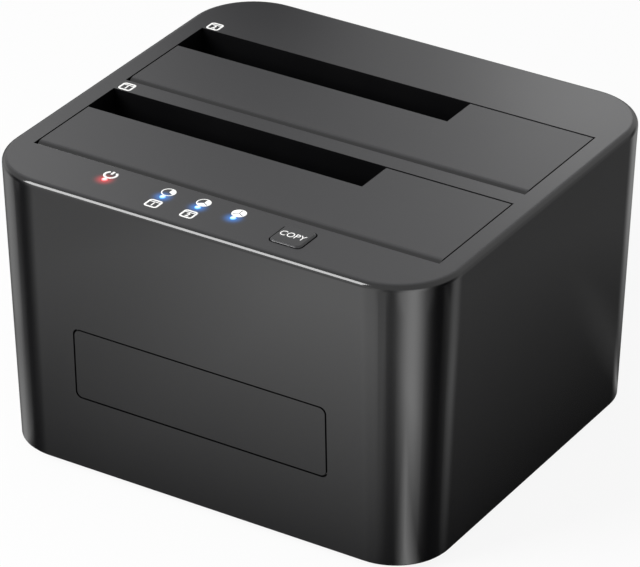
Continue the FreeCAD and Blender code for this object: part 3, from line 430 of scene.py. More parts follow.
def ribbon_film(name):
    """Flat laminated cable: pale film with the conductors showing as lines."""
    tree, place = surface(name)
    lines = add_node(tree, "ShaderNodeTexWave", {"bands_direction": "X"}, {
        "Vector": place, "Scale": 2 * math.pi / (20 * CONDUCTOR)})
    film = blend(tree, lines.outputs["Fac"], rgba(linear("#9a9a97")), rgba(linear("#e4e3de")))
    shade(tree, {"Base Color": film, "Roughness": 0.35})


def printed_ink(name, rgb):
    """Screen-printed ink: opaque, a little rough, thin where the mesh of the screen lay. It also glows
    faintly: painted light that keeps it bright white.
    """
    tree, place = surface(name)
    ink = blend(tree, noise(tree, place, 1 / SCREEN), rgba(rgb, 0.9), rgba(rgb))
    # The emission is painted light: the ink glows though it is no lamp.
    shade(tree, {"Base Color": ink, "Emission Color": ink, "Emission Strength": 0.4, "Roughness": 0.5})


def make_materials(colours):
    """Every finish on the product, by its everyday name."""
    red_spots, blue_spots = light_places()
    deck, flap = (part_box(node)[1].z for node in ("housing_shell", "front_flap"))
    two_textures("ABS etched and satin", colours.deck, colours.side, deck, 0.28)
    two_textures("ABS moulded flap", colours.flap, colours.side, flap, 0.34)
    moulded("ABS satin plate", colours.plate, 0.22, 0.3, 0.001)
    moulded("ABS satin button", colours.button, 0.2, 0.3, 0.003)
    # This black stands for painted shade in the bays and the groove.
    moulded(BLACK_AND_SHADE, colours.bay, 0.4, 0.5, 0.01, 0.15)
    for make, finishes in ((moulded, MOULDED), (metal, METALS)):
        for name, (hex_colour, *texture) in finishes.items():
            make(name, linear(hex_colour), *texture)
    solder_mask("Solder mask")
    ribbon_film("Ribbon film")
    printed_ink(INK, colours.ink)
    lit_resin("Lit red resin", colours.red, red_spots)
    lit_resin("Lit blue resin", colours.blue, blue_spots)
    # Painted light: the lit lenses' glow on the deck, as emission.
    glow_round("ABS etched and satin", [(spot, Vector(colours.red)) for spot in red_spots] +
               [(spot, Vector(colours.blue)) for spot in blue_spots])


# ---------------------------------------------------------------- mesh tools
def held(name, data):
    """A new object in the scene."""
    holder = bpy.data.objects.new(name, data)
    bpy.context.scene.collection.objects.link(holder)
    return holder


def settled(holder):
    """The plain mesh that an object shows with its modifiers applied; the object goes."""
    depsgraph = bpy.context.evaluated_depsgraph_get()
    mesh = bpy.data.meshes.new_from_object(holder.evaluated_get(depsgraph))
    bpy.data.objects.remove(holder)
    return mesh


@contextlib.contextmanager
def edited(mesh):
    """Opens a mesh for editing and writes it back."""
    work = bmesh.new()
    work.from_mesh(mesh)
    yield work
    work.to_mesh(mesh)
    work.free()


def merged(work, distance=SPECK):
    """Makes one point of points that lie together."""
    bmesh.ops.remove_doubles(work, verts=work.verts, dist=distance)


def add_piece(name, mesh, material, body=HOUSING, replaces=()):
    """Puts a finished mesh in the scene as a piece that rides on a body."""
    piece = held(name, mesh)
    mesh.materials.clear()
    mesh.materials.append(MATERIALS[material])
    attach(piece, body)
    if replaces:
        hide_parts(*replaces)
    return piece


def applied(mesh, kind, settings):
    """A mesh with a modifier applied."""
    holder = held("holder", mesh)
    modifier = holder.modifiers.new(kind.lower(), kind)
    for name, value in settings.items():
        setattr(modifier, name, value)
    return settled(holder)


def soften(mesh, width, segments=2, spared=None):
    """Rounds the sharp edges of a mesh and shades it smooth between them; spared edges stay sharp."""
    with edited(mesh) as work:
        merged(work)
        layers = work.edges.layers.float
        weight = layers.get("bevel_weight_edge") or layers.new("bevel_weight_edge")
        for edge in work.edges:
            keen = edge.is_manifold and edge.calc_face_angle(0.0) > SHARP
            keep = keen and spared is not None and spared((edge.verts[0].co + edge.verts[1].co) / 2)
            edge[weight] = 1.0 if keen and not keep else 0.0
            edge.smooth = not keep
        for face in work.faces:
            face.smooth = True
    bevelled = applied(mesh, "BEVEL", {
        "width": width, "segments": segments, "limit_method": "WEIGHT", "use_clamp_overlap": True,
        "miter_outer": "MITER_ARC", "loop_slide": False, "harden_normals": True})
    return applied(mended(bevelled), "WEIGHTED_NORMAL", {"keep_sharp": True, "weight": 50})


def mended(mesh):
    """A bevelled mesh with specks merged, and flat areas filled anew where a polygon crosses itself.

    The triangles of such a polygon cover more than its area.
    """
    with edited(mesh) as work:
        merged(work)
        work.faces.index_update()
        covered = [0.0] * len(work.faces)
        for corners in work.calc_loop_triangles():
            covered[corners[0].face.index] += geometry.area_tri(*(corner.vert.co for corner in corners))
        crossed = [face for face in work.faces
                   if len(face.verts) > 4 and covered[face.index] > face.calc_area() * 1.0001]
        for face in crossed:
            if face.is_valid:
                refill(work, face)
    return mesh


def ordered(work, faces):
    """The edges of some faces, in the same order every time."""
    work.edges.index_update()
    return sorted({edge for face in faces for edge in face.edges}, key=lambda edge: edge.index)


def refill(work, face):
    """Fills the flat area round a polygon anew, holes left open."""
    normal = face.normal.copy()
    area, queue = {face}, [face]
    while queue:
        for edge in queue.pop().edges:
            for near in edge.link_faces:
                if near not in area and near.normal.dot(normal) > 0.9999:
                    area.add(near)
                    queue.append(near)
    outline, inner = [], []
    for edge in ordered(work, area):
        within = all(part in area for part in edge.link_faces)
        (inner if within else outline).append(edge)
    bmesh.ops.delete(work, geom=list(area), context="FACES_ONLY")
    bmesh.ops.delete(work, geom=inner, context="EDGES")
    filled = bmesh.ops.triangle_fill(work, use_beauty=True, edges=outline, normal=normal)["geom"]
    faces = {item for item in filled if isinstance(item, bmesh.types.BMFace)}
    for part in faces:
        part.smooth = True
        part.normal_update()
        if part.normal.dot(normal) < 0:
            part.normal_flip()
    seams = [edge for edge in ordered(work, faces) if all(part in faces for part in edge.link_faces)]
    bmesh.ops.dissolve_limit(work, angle_limit=FLAT / 2, verts=[], edges=seams)


def cad_copy(node):
    """A CAD node's mesh as clean polygons: doubles merged and flat areas joined."""
    mesh = frame["nodes"][node].data.copy()
    with edited(mesh) as work:
        merged(work, SPECK / 4)
        bmesh.ops.dissolve_limit(work, angle_limit=FLAT, verts=work.verts, edges=work.edges)
    if "custom_normal" in mesh.attributes:
        mesh.attributes.remove(mesh.attributes["custom_normal"])
    return mesh


def dress(node, material, width, body=HOUSING, segments=2, spared=None, mesh=None):
    """A CAD node, or a mesh in its stead, with its edges softened and in its own finish."""
    mesh = soften(mesh or cad_copy(node), width, segments, spared)
    return add_piece(node + "_dressed", mesh, material, body, [node])


def coat(material, *nodes):
    """Gives CAD nodes that stay as they are their finish."""
    for node in nodes:
        mesh = frame["nodes"][node].data
        mesh.materials.clear()
        mesh.materials.append(MATERIALS[material])


# ---------------------------------------------------------------- Geometry Nodes
def new_tree(name, sizes):
    """A Geometry Nodes tree with one named length input per size; gives the tree and its inputs."""
    tree = bpy.data.node_groups.new(name, "GeometryNodeTree")
    tree.interface.new_socket("Geometry", in_out="INPUT", socket_type="NodeSocketGeometry")
    for label in sizes:
        tree.interface.new_socket(label, in_out="INPUT", socket_type="NodeSocketFloat")
    tree.interface.new_socket("Material", in_out="INPUT", socket_type="NodeSocketMaterial")
    tree.interface.new_socket("Geometry", in_out="OUTPUT", socket_type="NodeSocketGeometry")
    return tree, add_node(tree, "NodeGroupInput").outputs


def end_tree(tree, shape, material):
    """Closes a tree: instances become real and the finish is set."""
    real = add_node(tree, "GeometryNodeRealizeInstances", inputs={"Geometry": shape})
    coated = add_node(tree, "GeometryNodeSetMaterial", inputs={
        "Geometry": real.outputs["Geometry"], "Material": material})
    add_node(tree, "NodeGroupOutput", inputs={"Geometry": coated.outputs["Geometry"]})
    return tree


def grow(tree, material, values, source=None):
    """The plain mesh that a tree makes with these values for its named inputs."""
    holder = held(tree.name, source or bpy.data.meshes.new(tree.name))
    modifier = holder.modifiers.new(tree.name, "NODES")
    modifier.node_group = tree
    sockets = {item.name: item.identifier for item in tree.interface.items_tree if item.in_out == "INPUT"}
    modifier[sockets["Material"]] = MATERIALS[material]
    for name, value in values.items():
        modifier[sockets[name]] = value
    return settled(holder)


def cylinder(tree, vertices, radius, depth):
    return add_node(tree, "GeometryNodeMeshCylinder", inputs={
        "Vertices": vertices, "Radius": radius, "Depth": depth}).outputs["Mesh"]


def lifted(tree, shape, height):
    return add_node(tree, "GeometryNodeTransform", inputs={
        "Geometry": shape, "Translation": combined(tree, Z=height)}).outputs["Geometry"]


def four_corners(tree, size, piece):
    """Puts a piece on the four corners of a rectangle round the middle, at a height."""
    grid = add_node(tree, "GeometryNodeMeshGrid", inputs={
        "Size X": size["Spacing X"], "Size Y": size["Spacing Y"], "Vertices X": 2, "Vertices Y": 2})
    return add_node(tree, "GeometryNodeInstanceOnPoints", inputs={
        "Points": lifted(tree, grid.outputs["Mesh"], size["Height"]), "Instance": piece}).outputs["Instances"]


def screw_tree():
    """Four pan-head screws, heads down, each with a cross recess; their origin is under the head."""
    tree, size = new_tree("Base screws", ["Head Radius", "Head Height", "Shank Radius", "Length", "Recess",
                                          "Spacing X", "Spacing Y", "Height"])
    head = lifted(tree, cylinder(tree, 48, size["Head Radius"], size["Head Height"]),
                  worked(tree, "MULTIPLY", size["Head Height"], 0.5))
    cross = add_node(tree, "GeometryNodeMeshBoolean", {"operation": "DIFFERENCE", "solver": "EXACT"}, {
        "Mesh 1": head, "Self Intersection": True})
    thin = worked(tree, "MULTIPLY", size["Recess"], RECESS_BAR)
    for x, y in ((size["Recess"], thin), (thin, size["Recess"])):
        bar = add_node(tree, "GeometryNodeMeshCube", inputs={
            "Size": combined(tree, X=x, Y=y, Z=size["Head Height"])})
        tree.links.new(bar.outputs["Mesh"], cross.inputs["Mesh 2"])
    shank = lifted(tree, cylinder(tree, 24, size["Shank Radius"], size["Length"]),
                   worked(tree, "MULTIPLY_ADD", size["Length"], 0.5, size["Head Height"]))
    screw = add_node(tree, "GeometryNodeJoinGeometry")
    for part in (cross.outputs["Mesh"], shank):
        tree.links.new(part, screw.inputs["Geometry"])
    return end_tree(tree, four_corners(tree, size, screw.outputs["Geometry"]), size["Material"])


def foot_tree():
    """Four round feet."""
    tree, size = new_tree("Feet", ["Radius", "Depth", "Spacing X", "Spacing Y", "Height"])
    foot = cylinder(tree, 64, size["Radius"], size["Depth"])
    return end_tree(tree, four_corners(tree, size, foot), size["Material"])


def lens_tree():
    """A row of low domed lenses along X, from a first place at a pitch."""
    tree, size = new_tree("Lenses", ["Radius", "Rise", "Count", "Pitch", "First X", "Y", "Z"])
    ball = add_node(tree, "GeometryNodeMeshUVSphere", inputs={"Segments": 32, "Rings": 16, "Radius": 1.0})
    row = add_node(tree, "GeometryNodeMeshLine", inputs={
        "Count": size["Count"], "Start Location": combined(tree, X=size["First X"], Y=size["Y"], Z=size["Z"]),
        "Offset": combined(tree, X=size["Pitch"])})
    placed = add_node(tree, "GeometryNodeInstanceOnPoints", inputs={
        "Points": row.outputs["Mesh"], "Instance": ball.outputs["Mesh"],
        "Scale": combined(tree, X=size["Radius"], Y=size["Radius"], Z=size["Rise"])})
    return end_tree(tree, placed.outputs["Instances"], size["Material"])


def swept(tree, path, profile):
    """A profile swept along curves, with closed ends."""
    return add_node(tree, "GeometryNodeCurveToMesh", inputs={
        "Curve": path.outputs["Curve"], "Profile Curve": profile.outputs["Curve"],
        "Fill Caps": True}).outputs["Mesh"]


def wire_tree():
    """Round wire along the edges it is given."""
    tree, size = new_tree("Wire", ["Radius"])
    path = add_node(tree, "GeometryNodeMeshToCurve", inputs={"Mesh": size["Geometry"]})
    ring = add_node(tree, "GeometryNodeCurvePrimitiveCircle", inputs={
        "Resolution": 16, "Radius": size["Radius"]})
    smooth = add_node(tree, "GeometryNodeSetShadeSmooth", inputs={"Geometry": swept(tree, path, ring)})
    return end_tree(tree, smooth.outputs["Geometry"], size["Material"])


def stroke_tree():
    """A flat printed line of even width along the edges it is given."""
    tree, size = new_tree("Printed line", ["Width", "Thickness"])
    path = add_node(tree, "GeometryNodeMeshToCurve", inputs={"Mesh": size["Geometry"]})
    level = add_node(tree, "GeometryNodeSetCurveNormal", inputs={"Curve": path.outputs["Curve"]})
    if hasattr(level, "mode"):    # a property or a menu input, depending on the version
        level.mode = "Z_UP"
    else:
        level.inputs["Mode"].default_value = "Z_UP"
    bar = add_node(tree, "GeometryNodeCurvePrimitiveQuadrilateral", inputs={
        "Width": size["Width"], "Height": size["Thickness"]})
    return end_tree(tree, swept(tree, level, bar), size["Material"])


# ---------------------------------------------------------------- lines and lettering
def chain(path, closed):
    """A mesh of edges only, along a path."""
    mesh = bpy.data.meshes.new("path")
    edges = [(i, i + 1) for i in range(len(path) - 1)]
    if closed:
        edges.append((len(path) - 1, 0))
    mesh.from_pydata(path, edges, [])
    return mesh


def arc(middle, radius, start, end, steps=32):
    """Points round a middle from one angle to another, in degrees."""
    angles = [math.radians(start + (end - start) * i / steps) for i in range(steps + 1)]
    return [middle + Vector((radius * math.cos(a), radius * math.sin(a), 0)) for a in angles]


def stroke(tree, width, thickness, path, closed=False):
    """A printed line along a path; its middle plane is the path's."""
    return grow(tree, INK, {"Width": width, "Thickness": thickness}, chain(path, closed))


def slab(outlines, thickness):
    """Flat shapes of ink: each outline becomes a plate that stands on its plane."""
    mesh = bpy.data.meshes.new("slab")
    with edited(mesh) as work:
        for outline in outlines:
            face = work.faces.new([work.verts.new(point) for point in outline])
            face.normal_update()
            if face.normal.z < 0:
                face.normal_flip()
        grown = bmesh.ops.extrude_face_region(work, geom=list(work.faces))
        top = [item for item in grown["geom"] if isinstance(item, bmesh.types.BMVert)]
        bmesh.ops.translate(work, verts=top, vec=(0, 0, thickness))
        bmesh.ops.recalc_face_normals(work, faces=work.faces)
    return mesh


def lettering(text, width, height, place, thickness, weight=0.03):
    """Text of a given height, centred on a place, as a mesh that stands on its plane.

    Without a width, the text keeps its own proportions.
    """
    curve = bpy.data.curves.new("text", "FONT")
    curve.body = text
    curve.size = 1.0
    curve.extrude = 0.5
    curve.offset = weight
    curve.resolution_u = 4
    mesh = settled(held("text", curve))
    points = [vertex.co for vertex in mesh.vertices]
    low = Vector(map(min, *points))
    high = Vector(map(max, *points))
    rise = height / (high.y - low.y)
    factor = Vector((width / (high.x - low.x) if width else rise, rise, thickness / (high.z - low.z)))
    for vertex in mesh.vertices:
        local = vertex.co - (low + high) / 2
        vertex.co = place + Vector((local.x * factor.x, local.y * factor.y, (local.z + 0.5) * factor.z))
    return mesh


def joined(meshes):
    """Several meshes of one finish as one, with their seams closed."""
    result = bpy.data.meshes.new("joined")
    with edited(result) as work:
        for mesh in meshes:
            work.from_mesh(mesh)
        merged(work, SPECK / 2)
    return result


# ---------------------------------------------------------------- operators
class DUPLICATOR_OT_housing(bpy.types.Operator):
    """Builds the housing with soft edges and bay walls blacked out as painted shade, and the plate in its
    front, its groove in painted shade too
    """
    bl_idname = "duplicator.housing"
    bl_label = "Housing"

    def execute(self, context):
        sizes = context.scene.duplicator_sizes
        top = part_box("housing_shell")[1]
        low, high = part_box("badge_plate")
        bays = [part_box(bay + "_flap") for bay in BAYS]

        def by_the_plate(point):
            return (point.y < high.y + NEAR and low.z - NEAR < point.z < high.z + NEAR
                    and low.x - NEAR < point.x < high.x + NEAR)

        def spared(point):
            in_the_deck = (point.z > top.z - DECK and abs(point.x) < top.x - DECK_INSET
                           and abs(point.y) < top.y - DECK_INSET)
            return in_the_deck or by_the_plate(point)

        def in_the_groove(point, normal):
            return by_the_plate(point) and (abs(normal.y) < 0.95 or point.y > high.y - GROOVE_LIP)

        def on_a_bay_wall(point, normal):
            return abs(normal.z) <= 0.5 and any(
                start.x - NEAR < point.x < end.x + NEAR and start.y - 2 * NEAR < point.y < end.y + NEAR
                and point.z > end.z - BAY_RIM for start, end in bays)

        for piece in (dress("housing_shell", "ABS etched and satin", sizes.edge, spared=spared),
                      dress("badge_plate", "ABS satin plate", sizes.edge / 5)):
            # The second finish, near black, is painted shade on the groove and the bay walls.
            piece.data.materials.append(MATERIALS[BLACK_AND_SHADE])
            for face in piece.data.polygons:
                if in_the_groove(face.center, face.normal) or on_a_bay_wall(face.center, face.normal):
                    face.material_index = 1
        return {"FINISHED"}


class DUPLICATOR_OT_flaps(bpy.types.Operator):
    """Builds the two notched flaps with their hinge pins and springs"""
    bl_idname = "duplicator.flaps"
    bl_label = "Flaps"

    def execute(self, context):
        sizes = context.scene.duplicator_sizes
        joints = {joint["child"]: joint for joint in frame["joints"]}
        wire = wire_tree()
        for bay in BAYS:
            flap = bay + "_flap"
            hinge = Vector(joints[flap]["pos_m"])
            low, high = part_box(flap + "_spring")

            def by_the_spring(point):
                return low.x - NEAR < point.x < high.x + NEAR and abs(point.y - hinge.y) < FLAP_BARREL

            dress(flap, "ABS moulded flap", sizes.fine_edge, flap, spared=by_the_spring)
            coat("Spring steel", flap + "_pin")
            self.spring(wire, flap, hinge, sizes)
        return {"FINISHED"}

    def spring(self, tree, flap, hinge, sizes):
        """A torsion spring: the coil and one leg stay on the housing, the other leg goes with the flap."""
        node = flap + "_spring"
        half = sizes.spring_wire / 2
        low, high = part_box(node)
        width = high.x - low.x - sizes.spring_wire
        turns = width / COIL_PITCH
        steps = int(turns * COIL_STEPS)
        end = COIL_END + 2 * math.pi * turns
        coil = []
        for i in range(steps + 1):
            turn = COIL_START + (end - COIL_START) * i / steps
            coil.append(Vector((low.x + half + width * i / steps,
                                hinge.y + sizes.spring_radius * math.cos(turn),
                                hinge.z + sizes.spring_radius * math.sin(turn))))
        wall_way = Vector((0, math.sin(COIL_START), -math.cos(COIL_START)))
        wall_leg = coil[0] + wall_way * ((coil[0].y - low.y - half) / abs(wall_way.y))
        flap_way = Vector((0, -math.sin(end), math.cos(end)))
        reach = (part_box(flap)[1].z - FLAP_SKIN - half - coil[-1].z) / abs(flap_way.z)
        flap_leg = coil[-1] + flap_way * max(reach, 0)
        fixed, moving = (grow(tree, "Spring steel", {"Radius": half}, chain(path, False))
                         for path in ([wall_leg] + coil, [coil[-1], flap_leg]))
        add_piece(node + "_coil", fixed, "Spring steel", HOUSING, [node])
        add_piece(node + "_leg", moving, "Spring steel", flap)


class DUPLICATOR_OT_button(bpy.types.Operator):
    """Builds the copy button with its soft raised edge and its printed word"""
    bl_idname = "duplicator.button"
    bl_label = "Copy button"

    def execute(self, context):
        sizes = context.scene.duplicator_sizes
        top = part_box("copy_button")[1].z
        face = top - sizes.print_height
        cap = cad_copy("copy_button")
        for vertex in cap.vertices:
            if vertex.co.z > top - 0.01 * MM:
                vertex.co.z = face
        dress("copy_button", "ABS satin button", BUTTON_EDGE, "copy_button", 4, mesh=cap)
        place = centre("copy_button")
        place.z = face
        word = lettering("COPY", sizes.label, sizes.label * 0.32, place, sizes.print_height, 0.0)
        add_piece("copy_button_word", joined([word]), INK, "copy_button")
        return {"FINISHED"}


class DUPLICATOR_OT_lights(bpy.types.Operator):
    """Builds the lit power light and the row of lit progress lights"""
    bl_idname = "duplicator.lights"
    bl_label = "Lights"

    def execute(self, context):
        sizes = context.scene.duplicator_sizes
        tree = lens_tree()
        red_spots, blue_spots = light_places()
        for name, material, spots in (("power_lens", "Lit red resin", red_spots),
                                      ("progress_lenses", "Lit blue resin", blue_spots)):
            pitch = spots[1].x - spots[0].x if len(spots) > 1 else 0.0
            lenses = grow(tree, material, {
                "Radius": LENS, "Rise": sizes.lens, "Count": float(len(spots)), "Pitch": pitch,
                "First X": spots[0].x, "Y": spots[0].y, "Z": spots[0].z})
            add_piece(name, lenses, material)
        coat("Lit red resin", "power_light_pipe", "power_led")
        coat("Lit blue resin", "progress_light_pipes", "progress_leds")
        return {"FINISHED"}


class DUPLICATOR_OT_prints(bpy.types.Operator):
    """Prints the icons on the deck: power, three stages of progress and the numbers of the bays"""
    bl_idname = "duplicator.prints"
    bl_label = "Printed icons"

    def execute(self, context):
        self.sizes = sizes = context.scene.duplicator_sizes
        self.tree = stroke_tree()
        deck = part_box("housing_shell")[1].z
        red_spots, lights = light_places()
        behind = Vector((0, sizes.icon_behind, 0))
        before = Vector((0, -sizes.icon_before, 0))
        marks = self.power_icon(red_spots[0] + behind)
        for stage, light in enumerate(lights, 1):
            marks += self.progress_icon(light + behind, stage)
        for number, light in enumerate(lights[:2], 1):
            marks += self.drive_icon(light + before, str(number))
        for number, bay in enumerate(BAYS, 1):
            low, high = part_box(bay + "_flap")
            corner = Vector((low.x - FLAP_PLAY, high.y - STOP_LIP, deck))
            place = corner + Vector((sizes.bay_mark_side, sizes.bay_mark_behind, 0))
            marks += self.drive_icon(place, str(number))
        add_piece("deck_icons", joined(marks), INK)
        return {"FINISHED"}

    def line(self, width, path, closed=False):
        mesh = stroke(self.tree, width, self.sizes.print_height, path, closed)
        mesh.transform(Matrix.Translation((0, 0, self.sizes.print_height / 2)))
        return mesh

    def power_icon(self, place):
        """The standard power sign: a ring that is open at the top, and a bar in the opening."""
        width = self.sizes.icon_line * 1.6
        radius = (self.sizes.icon - width) / 2
        bar = [place + Vector((0, y * radius, 0)) for y in (0.15, 1.1)]
        return [self.line(width, arc(place, radius, 125, 415)), self.line(width, bar)]

    def progress_icon(self, place, stage):
        """A ring whose thirds fill up clockwise from the top, one per stage."""
        line = self.sizes.icon_line * 0.8
        radius = (self.sizes.icon - line) / 2
        ring = self.line(line, arc(place, radius, 0, 360)[:-1], True)
        gap = 5
        thirds = []
        for third in range(stage):
            start = 90 - 120 * third - gap
            tip = math.radians(start - 60 + gap)
            inner = place + Vector((math.cos(tip), math.sin(tip), 0)) * 0.1 * MM
            thirds.append([inner] + arc(place, radius, start, start - 120 + 2 * gap, 16))
        return [ring, slab(thirds, self.sizes.print_height)]

    def drive_icon(self, place, number):
        """A drive seen from above: a rounded square, its slot and the bay's number."""
        line = self.sizes.icon_line * 1.3
        half = (self.sizes.icon - line) / 2
        corner = half * 0.38
        outline = []
        for x, y, start in ((1, 1, 0), (-1, 1, 90), (-1, -1, 180), (1, -1, 270)):
            middle = place + Vector((x * (half - corner), y * (half - corner), 0))
            outline += arc(middle, corner, start, start + 90, 8)
        slot = [place + Vector((x * half, half * 0.52, 0)) for x in (-1.0, 1.0)]
        digit = lettering(number, None, half, place + Vector((0, -half * 0.2, 0)), self.sizes.print_height)
        return [self.line(line, outline, True), self.line(line * 0.6, slot), digit]


class DUPLICATOR_OT_wells(bpy.types.Operator):
    """Builds the drive wells and the drive sockets at their floors"""
    bl_idname = "duplicator.wells"
    bl_label = "Drive wells"

    def execute(self, context):
        sizes = context.scene.duplicator_sizes
        # The bay frame in the wells gets the black of painted shade.
        coat(BLACK_AND_SHADE, "bay_frame")
        for bay in BAYS:
            dress(bay + "_bay_connector", "PBT moulded", sizes.fine_edge)
            coat("Gold plating", bay + "_bay_contacts")
        return {"FINISHED"}


class DUPLICATOR_OT_base(bpy.types.Operator):
    """Builds the vented base cover, its four screws and its four rubber feet"""
    bl_idname = "duplicator.base"
    bl_label = "Base"

    def execute(self, context):
        sizes = context.scene.duplicator_sizes
        dress("base_cover", "ABS moulded base", sizes.fine_edge)
        low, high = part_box("base_screws")
        screws = grow(screw_tree(), "Zinc-plated steel", {
            "Head Radius": SCREW_HEAD, "Head Height": SCREW_RISE, "Shank Radius": SCREW_SHANK,
            "Length": high.z - low.z - SCREW_RISE, "Recess": SCREW_HEAD * RECESS_WIDTH,
            "Spacing X": high.x - low.x - 2 * SCREW_HEAD, "Spacing Y": high.y - low.y - 2 * SCREW_HEAD,
            "Height": low.z})
        dress("base_screws", "Zinc-plated steel", sizes.fine_edge, mesh=screws)
        low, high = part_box("rubber_feet")
        feet = grow(foot_tree(), "Silicone rubber", {
            "Radius": FOOT, "Depth": high.z - low.z, "Spacing X": high.x - low.x - 2 * FOOT,
            "Spacing Y": high.y - low.y - 2 * FOOT, "Height": (low.z + high.z) / 2})
        dress("rubber_feet", "Silicone rubber", sizes.foot_edge, segments=3, mesh=feet)
        return {"FINISHED"}


class DUPLICATOR_OT_sockets(bpy.types.Operator):
    """Finishes the sockets and the rocker switch at the back"""
    bl_idname = "duplicator.sockets"
    bl_label = "Rear sockets"

    def execute(self, context):
        sizes = context.scene.duplicator_sizes
        for node, material in (("usb_port_shell", "Nickel-plated steel"), ("usb_port_insert", "PBT blue"),
                               ("dc_jack_body", "PBT moulded"), ("power_switch_case", "ABS polished black")):
            dress(node, material, sizes.fine_edge)
        rocker = dress("power_rocker", "ABS polished black", sizes.edge, "power_rocker", 3)
        self.rocker_marks(rocker.data, sizes)
        coat("Gold plating", "usb_port_contacts", "power_switch_terminals")
        coat("Nickel-plated steel", "dc_jack_pin")
        return {"FINISHED"}

    def rocker_marks(self, rocker, sizes):
        """The signs for on and off, a bar and a ring, each flat on its half of the rocker."""
        skin = BVHTree.FromPolygons([vertex.co for vertex in rocker.vertices],
                                    [face.vertices[:] for face in rocker.polygons])
        tree = stroke_tree()
        middle = centre("power_rocker")
        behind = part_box("power_rocker")[1].y + NEAR
        bar = [Vector((0, -SIGN, 0)), Vector((0, SIGN, 0))]
        ring = arc(Vector(), SIGN, 0, 360)[:-1]
        marks = []
        for side, path, closed in ((-1, bar, False), (1, ring, True)):
            start = Vector((middle.x + side * SIGN_ASIDE, behind, middle.z))
            place, normal = skin.ray_cast(start, Vector((0, -1, 0)))[:2]
            mark = stroke(tree, SIGN_LINE, sizes.print_height, path, closed)
            turn = normal.to_track_quat("Z", "Y").to_matrix().to_4x4()
            mark.transform(Matrix.Translation(place + normal * sizes.print_height / 2) @ turn)
            marks.append(mark)
        add_piece("power_rocker_marks", joined(marks), INK, "power_rocker")


class DUPLICATOR_OT_boards(bpy.types.Operator):
    """Gives the boards and everything on them their finishes"""
    bl_idname = "duplicator.boards"
    bl_label = "Boards"

    def execute(self, context):
        coat("Solder mask", "indicator_board", "main_board")
        coat("Zinc-plated steel", "main_board_screws")
        coat("Epoxy moulded", "tact_switch", "tact_plunger", "bridge_chip", "memory_chip", "regulator_chips")
        coat("Ribbon film", "ribbon_cable")
        coat("Nylon natural", "ribbon_socket_upper", "ribbon_socket_lower")
        coat("Nickel-plated steel", "clock_crystal")
        coat("Ferrite", "power_inductors")
        coat("Aluminium drawn", "filter_capacitors")
        return {"FINISHED"}


